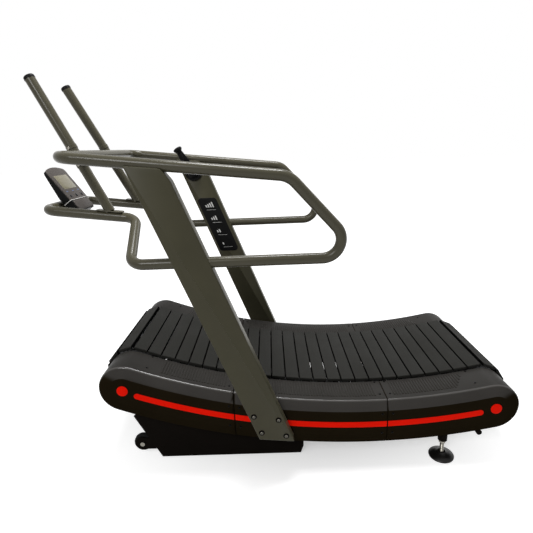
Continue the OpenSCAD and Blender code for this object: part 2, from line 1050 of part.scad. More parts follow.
// Handrails
module handrail() {
    upright_rear_x = upright_mid_x(rail_low_z) + upright_w / 2 - rail_in;
    p = route([
        [cross_x, 0, rail_top_z],
        [cross_x, -rail_y, rail_top_z],
        [slant_top_x, -rail_y, rail_z(slant_top_x)],
        [rail_rear_x, -rail_y, rail_low_z],
        [upright_rear_x, -rail_y, rail_low_z]
    ], [bend_r, slant_bend_r, bend_r], 8);
    hollow_tube(p, tube_r, tube_wall, [0, 0, 1]);
}

module handrail_left() {
    color([0.27, 0.26, 0.21]) placed() handrail();
}

module handrail_right() {
    color([0.27, 0.26, 0.21]) placed() right_side() handrail();
}

module front_loop() {
    upright_front_x = upright_mid_x(rail_low_z) - upright_w / 2 + rail_in;
    half = [
        [upright_front_x, rail_y, rail_low_z],
        [riser_foot_x, rail_y, rail_low_z],
        [riser_top_x, loop_y, loop_z(riser_top_x)],
        [loop_x, loop_y, loop_z(loop_x)]
    ];
    other = [for (i = [3 : -1 : 0]) [half[i][0], -half[i][1], half[i][2]]];
    radii = [for (i = [1 : 6]) loop_bend_r];
    color([0.27, 0.26, 0.21])
        placed()
            hollow_tube(route(concat(half, other), radii, 6), tube_r, tube_wall, [0, 0, 1]);
}

module on_push_foot() {
    translate([push_foot_x, -loop_y, push_foot_z]) rotate([0, atan(loop_fall), 0]) children();
}

module in_push_bar(len) {
    translate([push_foot_x, -loop_y, push_foot_z + lap])
        rotate([-push_in, -push_lean, 0])
            translate([0, 0, len]) children();
}

module push_bars() {
    foot_t = 4;
    foot_l = 100;
    foot_solid = 12;
    below = 60;
    color([0.27, 0.26, 0.21])
        placed()
            both_sides()
                difference() {
                    union() {
                        on_push_foot() translate([-foot_l / 2, -tube_r, 0]) cube([foot_l, tube_d, foot_t]);
                        difference() {
                            in_push_bar(0) cylinder(r = tube_r, h = push_len);
                            in_push_bar(foot_solid) cylinder(r = tube_r - tube_wall, h = push_len);
                            translate([0, 0, lap])
                                on_push_foot()
                                    translate([-foot_l, -tube_d, -below])
                                        cube([2 * foot_l, 2 * tube_d, below]);
                        }
                    }
                    translate([cross_x, 0, rail_top_z])
                        rotate([90, 0, 0]) cylinder(r = tube_r + touch, h = rail_y);
                }
}

module push_bar_caps() {
    cap_h = 14;
    plug = 16;
    color([0.05, 0.05, 0.05])
        placed()
            both_sides()
                union() {
                    in_push_bar(push_len) cylinder(r = tube_r + 1, h = cap_h);
                    in_push_bar(push_len - plug) cylinder(r = tube_r - tube_wall - fit, h = plug + lap);
                }
}

// Resistance
module lever_hub() {
    pin_proud = 6;
    pin_end = upright_y - hub_t - lever_t - pin_proud;
    color([0.06, 0.06, 0.06])
        placed()
            right_side()
                union() {
                    bar(hub_at, hub_r, upright_y - hub_t, upright_y);
                    bar(hub_at, hub_pin_r, pin_end, upright_y - hub_t + lap);
                }
}

module in_lever(len) {
    translate([hub_at[0], 0, hub_at[1]]) rotate([0, -lever_ang, 0]) translate([0, 0, len]) children();
}

module resistance_lever() {
    boss = 26;
    root_w = 50;
    tip_w = 28;
    arm_in = 2;
    y1 = upright_y - hub_t - fit;
    color([0.06, 0.06, 0.06])
        placed()
            right_side()
                difference() {
                    union() {
                        bar(hub_at, boss, y1 - lever_t, y1);
                        in_lever(0)
                            translate([0, -y1 + lever_t - arm_in, 0])
                                rotate([90, 0, 0])
                                    linear_extrude(lever_t - 2 * arm_in)
                                        polygon([
                                            [-root_w / 2, 0],
                                            [root_w / 2, 0],
                                            [tip_w / 2, lever_len],
                                            [-tip_w / 2, lever_len]
                                        ]);
                    }
                    bar(hub_at, hub_pin_r + running_fit, y1 - lever_t - lap, y1 + lap);
                }
}

module lever_knob() {
    knob_h = 26;
    y_mid = upright_y - hub_t - fit - lever_t / 2;
    color([0.04, 0.04, 0.04])
        placed()
            right_side()
                in_lever(lever_len)
                    translate([0, -y_mid, 0])
                        rotate_extrude()
                            polygon([
                                [0, 0],
                                [knob_r - 6, 0],
                                [knob_r, 8],
                                [knob_r, knob_h - 8],
                                [knob_r - 5, knob_h],
                                [0, knob_h]
                            ]);
}

module magnet_yoke() {
    boss = 12;
    arm_l = 60;
    arm_w = 26;
    jaw_t = 6;
    jaw_gap = 3;
    jaw_in = fly_y - jaw_gap - jaw_t;
    jaw_out = fly_y + fly_t + jaw_gap + jaw_t;
    bridge = 18;
    arm_at = yoke_at + [-arm_l, -arm_w / 2];
    color([0.35, 0.36, 0.38])
        placed()
            right_side()
                difference() {
                    union() {
                        bar(yoke_at, boss, jaw_in, jaw_out);
                        for (y = [jaw_in, jaw_out - jaw_t])
                            slab(y, y + jaw_t) translate(arm_at) square([arm_l, arm_w]);
                        slab(jaw_in, jaw_out) translate(arm_at + [arm_l - bridge, 0]) square([bridge, arm_w]);
                    }
                    bar(yoke_at, yoke_pin_r + running_fit, jaw_in - lap, jaw_out + lap);
                }
}

module resistance_cable() {
    inside = 40;
    core_y = upright_y + upright_t / 2;
    slack = cable_hole + [-174, 5];
    slack_y = 330;
    lead_in = cable_stop + [88, 0];
    p = route([
        [hub_at[0], upright_y, hub_at[1]],
        [hub_at[0], core_y, hub_at[1]],
        [cable_hole[0], core_y, cable_hole[1]],
        [cable_hole[0], upright_y - inside, cable_hole[1]],
        [slack[0], slack_y, slack[1]],
        [lead_in[0], cable_stop_y, lead_in[1]],
        [cable_stop[0], cable_stop_y, cable_stop[1]]
    ], [12, 12, 12, 30, 30], 5);
    color([0.03, 0.03, 0.03]) placed() solid_tube(p, cable_r, [0, 0, 1]);
}

// Console
module on_console() {
    translate([console_at[0], 0, console_at[1]]) rotate([0, -console_lean, 0]) children();
}

// A tab on the loop's front tube, and the wide housing under the face that the case stands on
module console_bracket() {
    tab_w = 70;
    tab_h = 5;
    tab_z = loop_z(loop_x) - 12;
    housing_half = console_w / 2 - 5;
    housing_in = 2;
    housing_low = 14;
    corner = 10;
    color([0.2, 0.2, 0.2])
        placed()
            difference() {
                union() {
                    translate([loop_x, -tab_w / 2, tab_z]) cube([console_at[0] - loop_x, tab_w, tab_h]);
                    on_console()
                        translate([housing_in - console_thick, 0, 0])
                            rotate([0, 90, 0])
                                linear_extrude(console_thick - 2 * housing_in)
                                    polygon([
                                        [-console_foot, -housing_half],
                                        [housing_low - corner, -housing_half],
                                        [housing_low, corner - housing_half],
                                        [housing_low, housing_half - corner],
                                        [housing_low - corner, housing_half],
                                        [-console_foot, housing_half]
                                    ]);
                }
                translate([loop_x, -tab_w, loop_z(loop_x)])
                    rotate([-90, 0, 0]) cylinder(r = tube_r + touch, h = 2 * tab_w);
            }
}

module console_case() {
    half = console_w / 2;
    arch_r = 240;
    shoulder = 30;
    color([0.2, 0.2, 0.2])
        placed()
            on_console()
                difference() {
                    intersection() {
                        translate([0, half, 0])
                            rotate([90, 0, 0])
                                linear_extrude(console_w)
                                    polygon([
                                        [0, console_foot],
                                        [0, console_top],
                                        [-console_thin, console_top],
                                        [-console_thick, console_foot + shoulder],
                                        [-console_thick, console_foot]
                                    ]);
                        translate([-console_w, 0, console_top - arch_r])
                            rotate([0, 90, 0]) cylinder(r = arch_r, h = 2 * console_w);
                    }
                    translate([-screen_deep, -screen_w / 2 - fit, screen_z - fit])
                        cube([2 * screen_deep, screen_w + 2 * fit, screen_h + 2 * fit]);
                    for (y = button_ys)
                        translate([-button_bore, y, button_z])
                            rotate([0, 90, 0]) cylinder(r = button_r + fit, h = 2 * button_bore);
                }
}

module console_screen() {
    color([0.62, 0.6, 0.5])
        placed()
            on_console()
                translate([-screen_deep, -screen_w / 2, screen_z]) cube([screen_t, screen_w, screen_h]);
}

module console_button(i) {
    depth = 5;
    proud = 2;
    color([0.12, 0.13, 0.16])
        placed()
            on_console()
                translate([-depth, button_ys[i], button_z])
                    rotate([0, 90, 0]) cylinder(r = button_r, h = depth + proud);
}

module console_button_left() { console_button(0); }
module console_button_middle() { console_button(1); }
module console_button_right() { console_button(2); }

side_plate_left();
side_plate_right();
cross_tubes();
guide_rollers();
bearing_units();
front_drum();
front_shaft();
flywheel();
rear_drum();
rear_shaft();
slats_top();
slats_front();
slats_rear();
slats_return();
carriers_top();
carriers_front();
carriers_rear();
carriers_return();
base_left();
base_right();
base_bars();
base_pads();
transport_wheel_left();
transport_wheel_right();
wheel_bolts();
foot_sleeves();
foot_nuts();
foot_left();
foot_right();
lift_handle();
cover_front_left();
cover_middle_left();
cover_rear_left();
cover_front_right();
cover_middle_right();
cover_rear_right();
red_strips();
axle_caps();
cover_screws();
upright_left();
upright_right();
upright_bolts();
level_plate();
handrail_left();
handrail_right();
front_loop();
push_bars();
push_bar_caps();
lever_hub();
resistance_lever();
lever_knob();
magnet_yoke();
resistance_cable();
console_bracket();
console_case();
console_screen();
console_button_left();
console_button_middle();
console_button_right();
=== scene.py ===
import json
import math

import bmesh
import bpy
from mathutils import Matrix, Vector


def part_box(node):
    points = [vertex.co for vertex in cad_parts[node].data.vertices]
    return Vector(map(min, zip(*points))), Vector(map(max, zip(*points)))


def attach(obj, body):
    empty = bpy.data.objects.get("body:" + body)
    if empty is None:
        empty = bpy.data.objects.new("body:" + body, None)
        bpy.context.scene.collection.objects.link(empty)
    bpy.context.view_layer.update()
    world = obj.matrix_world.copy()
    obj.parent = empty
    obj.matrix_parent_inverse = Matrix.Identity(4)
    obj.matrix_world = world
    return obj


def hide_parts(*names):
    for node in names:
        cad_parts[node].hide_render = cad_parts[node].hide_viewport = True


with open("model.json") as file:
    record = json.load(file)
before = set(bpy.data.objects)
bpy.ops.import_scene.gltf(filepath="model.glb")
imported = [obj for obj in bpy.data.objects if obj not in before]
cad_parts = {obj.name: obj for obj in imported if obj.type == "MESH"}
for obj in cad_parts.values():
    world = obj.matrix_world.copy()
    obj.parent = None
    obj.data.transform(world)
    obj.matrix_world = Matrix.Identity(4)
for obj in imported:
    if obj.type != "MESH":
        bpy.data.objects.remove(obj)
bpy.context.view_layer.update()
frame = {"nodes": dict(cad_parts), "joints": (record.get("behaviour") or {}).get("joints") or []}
scene = bpy.context.scene
scene.view_settings.view_transform = "Standard"

# Camera
# It stands at the runner's left, about as high as the handrails, and looks slightly down on the whole
# machine. The lens is a short one, given by its focal length in pixels of the square picture.
camera_place = Vector((-0.0235, -1.785, 1.2377))
camera_dip = math.radians(15.753)
camera_yaw = math.radians(-0.782)
camera_roll = math.radians(-2.287)
picture_side = 533
focal_pixels = 420.28
sensor_side = 36.0
ahead = Vector((
    math.sin(camera_yaw) * math.cos(camera_dip),
    math.cos(camera_yaw) * math.cos(camera_dip),
    -math.sin(camera_dip),
))
level = Vector((math.cos(camera_yaw), -math.sin(camera_yaw), 0.0))
upward = level.cross(ahead)
camera_right = level * math.cos(camera_roll) + upward * math.sin(camera_roll)
camera_up = upward * math.cos(camera_roll) - level * math.sin(camera_roll)
camera_data = bpy.data.cameras.new("photo_camera")
camera_data.sensor_width = sensor_side
camera_data.lens = sensor_side * focal_pixels / picture_side
camera = bpy.data.objects.new("photo_camera", camera_data)
camera_turn = Matrix((camera_right, camera_up, -ahead)).transposed().to_4x4()
camera.matrix_world = Matrix.Translation(camera_place) @ camera_turn
scene.collection.objects.link(camera)
scene.camera = camera

# Floor and studio light
# A pale floor that goes over into a white background, with painted shade under the machine where it glows
# less, a large soft lamp overhead, one in front and a weak one behind. The world is white to the camera and
# to reflections only.
floor_size = 60.0
floor_grey = (0.6, 0.6, 0.6, 1.0)
white = (1.0, 1.0, 1.0, 1.0)
shade_middle = (0.1, 0.42, 0.0)
glow_steps = ((0.3, 1.2, 0.28, 0.8), (1.8, 4.5, 0.0, 0.3))
world_fill = 0.2
lamps = (
    ("lamp_over", (0.1, 0.3, 4.0), (0.1, 0.0, 0.4), 1.5, 140.0),
    ("lamp_front", (-1.6, -3.6, 3.3), (0.0, 0.0, 0.5), 1.5, 80.0),
    ("lamp_behind", (2.4, 3.2, 2.8), (0.0, 0.0, 0.6), 2.0, 30.0),
)


def set_inputs(tree, node, inputs):
    """Gives a node's inputs their values, or links them where the value is another node's socket."""
    for socket, value in inputs.items():
        if isinstance(value, bpy.types.NodeSocket):
            tree.links.new(value, node.inputs[socket])
        else:
            node.inputs[socket].default_value = value


def add_node(tree, kind, inputs=None, **settings):
    """A new shader node with its settings and its inputs."""
    node = tree.nodes.new("ShaderNode" + kind)
    for setting, value in settings.items():
        setattr(node, setting, value)
    set_inputs(tree, node, inputs or {})
    return node


def seen_rays(tree):
    """A value of 1 for rays from the camera, and for those that a mirror or glass sends on."""
    path = add_node(tree, "LightPath").outputs
    sent_on = {0: path["Is Glossy Ray"], 1: path["Is Transmission Ray"]}
    shiny = add_node(tree, "Math", sent_on, operation="MAXIMUM").outputs[0]
    return add_node(tree, "Math", {0: path["Is Camera Ray"], 1: shiny}, operation="MAXIMUM").outputs[0]


def eased(tree, value, start, stop, low=0.0, high=1.0):
    """Goes softly from low to high while a value goes from start to stop."""
    limits = {"Value": value, "From Min": start, "From Max": stop, "To Min": low, "To Max": high}
    return add_node(tree, "MapRange", limits, interpolation_type="SMOOTHSTEP").outputs["Result"]


world = bpy.data.worlds.new("studio")
scene.world = world
world.use_nodes = True
world_tree = world.node_tree
world_tree.nodes.clear()
world_range = {"Value": seen_rays(world_tree), "To Min": world_fill, "To Max": 1.0}
world_strength = add_node(world_tree, "MapRange", world_range).outputs["Result"]
world_light = add_node(world_tree, "Background", {"Color": white, "Strength": world_strength})
add_node(world_tree, "OutputWorld", {"Surface": world_light.outputs["Background"]})

for lamp_name, lamp_place, lamp_target, lamp_size, lamp_watts in lamps:
    lamp_data = bpy.data.lights.new(lamp_name, "AREA")
    lamp_data.shape = "DISK"
    lamp_data.size = lamp_size
    lamp_data.energy = lamp_watts
    lamp = bpy.data.objects.new(lamp_name, lamp_data)
    lamp_turn = (Vector(lamp_target) - Vector(lamp_place)).to_track_quat("-Z", "Y")
    lamp.matrix_world = Matrix.Translation(lamp_place) @ lamp_turn.to_matrix().to_4x4()
    scene.collection.objects.link(lamp)

bpy.ops.object.select_all(action="DESELECT")
bpy.ops.mesh.primitive_plane_add(size=floor_size)
floor = bpy.context.object
floor.name = "studio_floor"
floor_paint = bpy.data.materials.new("studio_floor")
floor_paint.use_nodes = True
floor_tree = floor_paint.node_tree
floor_tree.nodes.clear()
# Painted shade: the glow is lowest round shade_middle, below the far side of the machine, so the floor is
# darker there besides its real shadow
floor_points = {0: add_node(floor_tree, "TexCoord").outputs["Object"], 1: shade_middle}
floor_away = add_node(floor_tree, "VectorMath", floor_points, operation="DISTANCE").outputs["Value"]
floor_glows = [eased(floor_tree, floor_away, *limits) for limits in glow_steps]
floor_level = add_node(floor_tree, "Math", dict(enumerate(floor_glows)), operation="ADD").outputs[0]
floor_matt = add_node(floor_tree, "BsdfDiffuse", {"Color": floor_grey}).outputs[0]
floor_glow = add_node(floor_tree, "Emission", {"Color": white, "Strength": floor_level}).outputs[0]
floor_sum = add_node(floor_tree, "AddShader", {0: floor_matt, 1: floor_glow}).outputs[0]
floor_pick = add_node(floor_tree, "MixShader", {0: seen_rays(floor_tree), 1: floor_matt, 2: floor_sum})
add_node(floor_tree, "OutputMaterial", {"Surface": floor_pick.outputs[0]})
floor.data.materials.append(floor_paint)

# Welded inner frame
# Two curved steel side plates joined by square tubes, with the base bars and the sleeves of the rear
# feet. It is cut and welded steel under a thin black paint, and the base has edges broken by hand.
inner_frame_nodes = ("side_plate_left", "side_plate_right", "cross_tubes", "base_bars", "foot_sleeves")
base_nodes = ("base_left", "base_right", "lift_handle")
black_paint_tones = ((0.0045, 0.0035, 0.0027), (0.0085, 0.0068, 0.0055))
sheet_edge = 0.0012
weld_within = 0.00002
broken_angle = math.radians(50)


def new_group(name, inputs, outputs):
    """An empty shader node group, what comes in through its inputs, and its output node."""
    group = bpy.data.node_groups.new(name, "ShaderNodeTree")
    for socket_name, value in inputs.items():
        kind = "NodeSocketFloat" if isinstance(value, float) else "NodeSocketColor"
        socket = group.interface.new_socket(name=socket_name, in_out="INPUT", socket_type=kind)
        socket.default_value = value
    for socket_name in outputs:
        kind = "NodeSocketColor" if socket_name == "Color" else "NodeSocketFloat"
        group.interface.new_socket(name=socket_name, in_out="OUTPUT", socket_type=kind)
    return group, group.nodes.new("NodeGroupInput").outputs, group.nodes.new("NodeGroupOutput")


def relief_group(name, texture, output, inputs, stretch=(1.0, 1.0, 1.0), **settings):
    """A node group for the height of a fine relief, from a texture that can be stretched."""
    group, given, result = new_group(name, {"Scale": 900.0}, ("Height",))
    place = add_node(group, "TexCoord").outputs["Object"]
    stretched = add_node(group, "Mapping", {"Vector": place, "Scale": stretch}).outputs["Vector"]
    inputs = {"Vector": stretched, "Scale": given["Scale"], **inputs}
    height = add_node(group, texture, inputs, **settings).outputs[output]
    set_inputs(group, result, {"Height": height})
    return group


# Two close tones in soft patches, with a gloss that changes from patch to patch
patches, patches_in, patches_out = new_group(
    "patches",
    {"Dark": white, "Light": white, "Scale": 6.0, "Smooth": 0.3, "Rough": 0.5},
    ("Color", "Roughness"),
)
patches_place = add_node(patches, "TexCoord").outputs["Object"]
patches_noise = {"Vector": patches_place, "Scale": patches_in["Scale"], "Detail": 5.0}
patch = add_node(patches, "TexNoise", patches_noise).outputs["Fac"]
patches_ends = {0: patch, 6: patches_in["Dark"], 7: patches_in["Light"]}
patches_gloss = {
    "Value": patch,
    "From Min": 0.3,
    "From Max": 0.7,
    "To Min": patches_in["Smooth"],
    "To Max": patches_in["Rough"],
}
set_inputs(patches, patches_out, {
    "Color": add_node(patches, "Mix", patches_ends, data_type="RGBA").outputs[2],
    "Roughness": add_node(patches, "MapRange", patches_gloss).outputs["Result"],
})

# The fine relief of sprayed or baked paint
paint_relief = relief_group("paint_relief", "TexNoise", "Fac", {"Detail": 2.0})


def add_tones(tree, tones, scale, gloss):
    """The patches, placed in a material with its two tones and its range of gloss."""
    dark, light = [(*tone, 1.0) for tone in tones]
    values = {"Dark": dark, "Light": light, "Scale": scale, "Smooth": gloss[0], "Rough": gloss[1]}
    return add_node(tree, "Group", values, node_tree=patches).outputs


def new_finish(name, tones, gloss, patch_scale, relief, relief_scale, depth, specular, metallic=0.0):
    """A material of two close tones, with a relief of that depth in metres."""
    finish = bpy.data.materials.new(name)
    finish.use_nodes = True
    tree = finish.node_tree
    spots = add_tones(tree, tones, patch_scale, gloss)
    height = add_node(tree, "Group", {"Scale": relief_scale}, node_tree=relief).outputs["Height"]
    bump = add_node(tree, "Bump", {"Strength": 1.0, "Distance": depth, "Height": height})
    set_inputs(tree, tree.nodes["Principled BSDF"], {
        "Base Color": spots["Color"],
        "Roughness": spots["Roughness"],
        "Specular IOR Level": specular,
        "Metallic": metallic,
        "Normal": bump.outputs["Normal"],
    })
    return finish


def painted_steel(name, tones, gloss, depth, specular, patch_scale=7.0, grain=900.0):
    """Paint on steel, with the relief of spraying."""
    return new_finish(name, tones, gloss, patch_scale, paint_relief, grain, depth, specular)


def dress(names, finish, edge=0.0):
    """Gives CAD nodes a finish and, where edge is set, breaks their sharp edges by that much."""
    for node_name in names:
        node = frame["nodes"][node_name]
        for holder in node.material_slots:
            holder.material = finish
        if edge:
            weld = node.modifiers.new("weld", "WELD")
            weld.merge_threshold = weld_within
            bevel = node.modifiers.new("broken_edges", "BEVEL")
            bevel.width = edge
            bevel.segments = 2
            bevel.limit_method = "ANGLE"
            bevel.angle_limit = broken_angle


black_steel = painted_steel(
    "black_painted_steel", black_paint_tones, gloss=(0.4, 0.54), depth=0.00002, specular=0.01
)
dress(inner_frame_nodes, black_steel)
dress(base_nodes, black_steel, sheet_edge)

# Drums, shafts, bearings, flywheel and magnet yoke
# The drums and the flange bearings are cast and turned aluminium and grey iron, the shafts and the
# flywheel are turned steel. Fine lathe marks run round each of them.
turned_nodes = ("front_shaft", "rear_shaft", "flywheel")
cast_nodes = ("front_drum", "rear_drum", "bearing_units", "magnet_yoke")
steel_tones = ((0.42, 0.42, 0.43), (0.6, 0.6, 0.61))
cast_tones = ((0.2, 0.205, 0.21), (0.34, 0.345, 0.35))

# Fine lines round the Y axis, left by the lathe or the brush
lathe_marks = relief_group("lathe_marks", "TexNoise", "Fac", {"Detail": 3.0}, (0.05, 1.0, 0.05))


def bare_metal(name, tones, gloss, depth, patch_scale=18.0, marks=1100.0, specular=0.5):
    """Metal with tool marks and slight patches."""
    return new_finish(name, tones, gloss, patch_scale, lathe_marks, marks, depth, specular, 1.0)


dress(turned_nodes, bare_metal("turned_steel", steel_tones, gloss=(0.22, 0.4), depth=0.00003))
dress(cast_nodes, bare_metal("cast_metal", cast_tones, gloss=(0.4, 0.6), depth=0.00008))

# Carrier belts, guide rollers, resistance cable and base pads
# Rubber belts run on the drums and on plastic rollers along both side plates. The cable runs in a black
# sheath from the lever, down inside the right upright and along the side plate to the yoke.
carrier_nodes = ("carriers_top", "carriers_front", "carriers_rear", "carriers_return")
rubber_nodes = carrier_nodes + ("resistance_cable", "base_pads")
roller_nodes = ("guide_rollers",)
rubber_tones = ((0.008, 0.008, 0.008), (0.016, 0.0155, 0.015))
roller_tones = ((0.03, 0.03, 0.03), (0.045, 0.045, 0.045))

# Small pebbles, as on moulded plastic and rubber
pebbles = relief_group("pebbles", "TexVoronoi", "Distance", {}, feature="SMOOTH_F1")


def moulded(name, tones, gloss, cells, depth, specular, patch_scale=9.0):
    """Moulded plastic or rubber with a pebbled surface."""
    return new_finish(name, tones, gloss, patch_scale, pebbles, cells, depth, specular)


black_rubber = moulded(
    "black_rubber", rubber_tones, gloss=(0.6, 0.8), cells=1400.0, depth=0.00006, specular=0.06
)
roller_plastic = moulded(
    "roller_plastic", roller_tones, gloss=(0.4, 0.55), cells=1600.0, depth=0.00003, specular=0.1
)
dress(rubber_nodes, black_rubber)
dress(roller_nodes, roller_plastic)

# Slat belt
# Sixty rubber-faced slats, bolted across the two carrier belts, make the running surface. Each slat has
# rounded edges and a charcoal top and ends; its flanks and underside are painted near black as shade, so the
# gaps are black.
places = {joint["name"]: Vector(joint["pos_m"]) for joint in frame["joints"] if "pos_m" in joint}
deck_centre = places["belt_top_run"]
front_axle = places["front_axle_spin"]
rear_axle = places["rear_axle_spin"]
curve_radius = (front_axle - deck_centre).length
front_angle = math.atan2(front_axle.x - deck_centre.x, deck_centre.z - front_axle.z)
rear_angle = math.atan2(rear_axle.x - deck_centre.x, deck_centre.z - rear_axle.z)
deck_turn = rear_angle - front_angle
pitch_offset = 0.093
slat_count = 60
slat_low = 0.003
slat_thick = 0.012
slat_length = 0.458
slat_gap = 0.004
slat_round = 0.0035
slat_side_z = 0.6
slat_end_y = 0.5
slat_tones = ((0.0112, 0.0111, 0.0096), (0.0178, 0.0174, 0.0154))
gap_shade_tones = ((0.0015, 0.0015, 0.0015), (0.003, 0.003, 0.003))
top_run = (curve_radius - pitch_offset) * deck_turn
low_run = (curve_radius + pitch_offset) * deck_turn
half_run = pitch_offset * math.pi
slat_pitch = (top_run + low_run + 2 * half_run) / slat_count
double_within = 0.00001


def on_deck(offset, angle, across=0.0):
    """A point that lies offset above the curve through the axles, at an angle from its lowest point."""
    reach = curve_radius - offset
    return Vector((
        deck_centre.x + reach * math.sin(angle),
        across,
        deck_centre.z - reach * math.cos(angle),
    ))


def round_axle(axle, angle):
    """A point of the belt where it goes round a drum, at an angle from straight up."""
    return axle + pitch_offset * Vector((math.sin(angle), 0.0, math.cos(angle)))


def slat_place(run):
    """The group and the place of the slat at a length along the loop, from the front end of the top run.

    A slat less than half a pitch past the end of a run still lies along that run.
    """
    rear_start = top_run + slat_pitch / 2
    rear_stop = top_run + half_run - slat_pitch / 2
    return_stop = top_run + half_run + low_run + slat_pitch / 2
    if run <= rear_start:
        angle = front_angle + run / (curve_radius - pitch_offset)
        group, point, turn = "top", on_deck(pitch_offset, angle), -angle
    elif run <= rear_stop:
        turn = -rear_angle + (run - top_run) / pitch_offset
        group, point = "rear", round_axle(rear_axle, turn)
    elif run <= return_stop:
        angle = rear_angle - (run - top_run - half_run) / (curve_radius + pitch_offset)
        group, point, turn = "return", on_deck(-pitch_offset, angle), math.pi - angle
    else:
        turn = math.pi - front_angle + (run - top_run - half_run - low_run) / pitch_offset
        group, point = "front", round_axle(front_axle, turn)
    return group, Matrix.Translation(point) @ Matrix.Rotation(turn, 4, "Y")


def start_piece(name, add, **settings):
    """Adds a primitive with nothing else selected, and leaves it in edit mode, selected all over."""
    bpy.ops.object.select_all(action="DESELECT")
    add(**settings)
    piece = bpy.context.object
    piece.name = name
    piece.data.name = name
    bpy.ops.object.mode_set(mode="EDIT")
    bpy.ops.mesh.select_mode(type="VERT")
    bpy.ops.mesh.select_all(action="SELECT")
    return piece


def pick(piece, kind, test):
    """Selects the edges or the faces whose corners pass a test."""
    bpy.ops.mesh.select_mode(type=kind)
    bpy.ops.mesh.select_all(action="DESELECT")
    mesh = bmesh.from_edit_mesh(piece.data)
    for part in mesh.edges if kind == "EDGE" else mesh.faces:
        part.select_set(test([piece.matrix_world @ corner.co for corner in part.verts]))
    bmesh.update_edit_mesh(piece.data)


def pick_above(piece, height):
    """Selects the edges that lie wholly above a height."""
    pick(piece, "EDGE", lambda corners: min(corner.z for corner in corners) > height)


def round_edges(width, segments=2):
    """Rounds the selected edges."""
    bpy.ops.mesh.bevel(offset=width, offset_type="OFFSET", segments=segments, profile=0.5, affect="EDGES")


def apply_place():
    """Puts the active piece's place, turn and scale in its mesh."""
    bpy.ops.object.mode_set(mode="OBJECT")
    bpy.ops.object.transform_apply(location=True, rotation=True, scale=True)


def end_piece(piece, finish, smooth_angle=35.0):
    """Closes a piece: doubles merged, faces outwards, its place in its mesh, and its finish."""
    bpy.ops.object.mode_set(mode="EDIT")
    bpy.ops.mesh.select_mode(type="VERT")
    bpy.ops.mesh.select_all(action="SELECT")
    bpy.ops.mesh.remove_doubles(threshold=double_within)
    bpy.ops.mesh.normals_make_consistent(inside=False)
    apply_place()
    bpy.ops.object.shade_smooth_by_angle(angle=math.radians(smooth_angle))
    piece.data.materials.append(finish)
    return piece


def joined(name, members):
    """Pieces joined into one object."""
    bpy.ops.object.select_all(action="DESELECT")
    for member in members:
        member.select_set(True)
    bpy.context.view_layer.objects.active = members[0]
    bpy.ops.object.join()
    whole = bpy.context.object
    whole.name = name
    whole.data.name = name
    apply_place()
    return whole


def repeated(name, model, copy_places):
    """Copies of a modelled piece, one at each place, joined into one object."""
    copies = []
    for place in copy_places:
        copy = model.copy()
        copy.data = model.data.copy()
        copy.matrix_world = place
        scene.collection.objects.link(copy)
        copies.append(copy)
    return joined(name, copies)


def shown(piece, body="frame", node_name=None):
    """Hands over a finished piece: the CAD node it replaces, if any and the body it rides on."""
    if node_name is not None:
        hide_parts(node_name)
    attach(piece, body)


slat_rubber = moulded(
    "slat_rubber", slat_tones, gloss=(0.6, 0.78), cells=700.0, depth=0.00025, specular=0.08, patch_scale=5.0
)
slat_gap_shade = moulded("slat_gap_shade", gap_shade_tones, gloss=(0.7, 0.8), cells=700.0, depth=0.0001, specular=0.0)
slat = start_piece("slat", bpy.ops.mesh.primitive_cube_add, size=1.0)
bpy.ops.transform.resize(value=(slat_pitch - slat_gap, slat_length, slat_thick))
bpy.ops.transform.translate(value=(0.0, 0.0, slat_low + slat_thick / 2))
pick_above(slat, slat_low + slat_thick / 2)
round_edges(slat_round, 4)
end_piece(slat, slat_rubber)
# Painted shade: the flanks and underside take the near-black finish, standing for the shade in the gaps
# between slats
slat.data.materials.append(slat_gap_shade)
for face in slat.data.polygons:
    if face.normal.z < slat_side_z and abs(face.normal.y) < slat_end_y:
        face.material_index = 1
slat_groups = {"top": [], "rear": [], "return": [], "front": []}
for number in range(slat_count):
    slat_group, slat_matrix = slat_place(number * slat_pitch)
    slat_groups[slat_group].append(slat_matrix)
for slat_group, slat_matrices in slat_groups.items():
    slats = repeated("running_slats_" + slat_group, slat, slat_matrices)
    shown(slats, "belt_" + slat_group, "slats_" + slat_group)
bpy.data.objects.remove(slat)

# Covers
# Three moulded shells a side hide the frame: footrail on top, a slanted band, a dark side wall and a
# band below. They are textured plastic, screwed on from the side, with narrow seams between them.
sides = (("left", -1), ("right", 1))
cover_half = 0.095
cover_in = 0.233
cover_edge = 0.366
cover_out = 0.379
cover_band = 0.044
cover_lip = 0.006
cover_flange = 0.008
cover_wall = 0.004
lip_round = 0.002
edge_round = 0.008
band_round = 0.012
seam_front = deck_centre.x - 0.513
seam_rear = deck_centre.x + 0.078
seam_gap = 0.003
band_normal_z = 0.15
edge_normal_z = 0.32
side_normal_y = 0.15
tongue_half = 0.012
tongue_gap = 0.0006
tongue_thick = 0.002
nose_steps = 24
deck_steps = 110
tongue_steps = 2
cover_cells = 900.0
cover_relief = 0.00009
footrail_tones = ((0.0238, 0.0223, 0.0205), (0.0329, 0.0311, 0.0288))
# Painted sheen: the band's tones are lighter than the footrail's, for the light its slanted face catches
band_tones_with_painted_sheen = ((0.044, 0.041, 0.0375), (0.057, 0.053, 0.0488))
# The wall's own near black, also used as painted shade on the cover faces that turn down
wall_and_shade_tones = ((0.0115, 0.0083, 0.0042), (0.0155, 0.0114, 0.006))


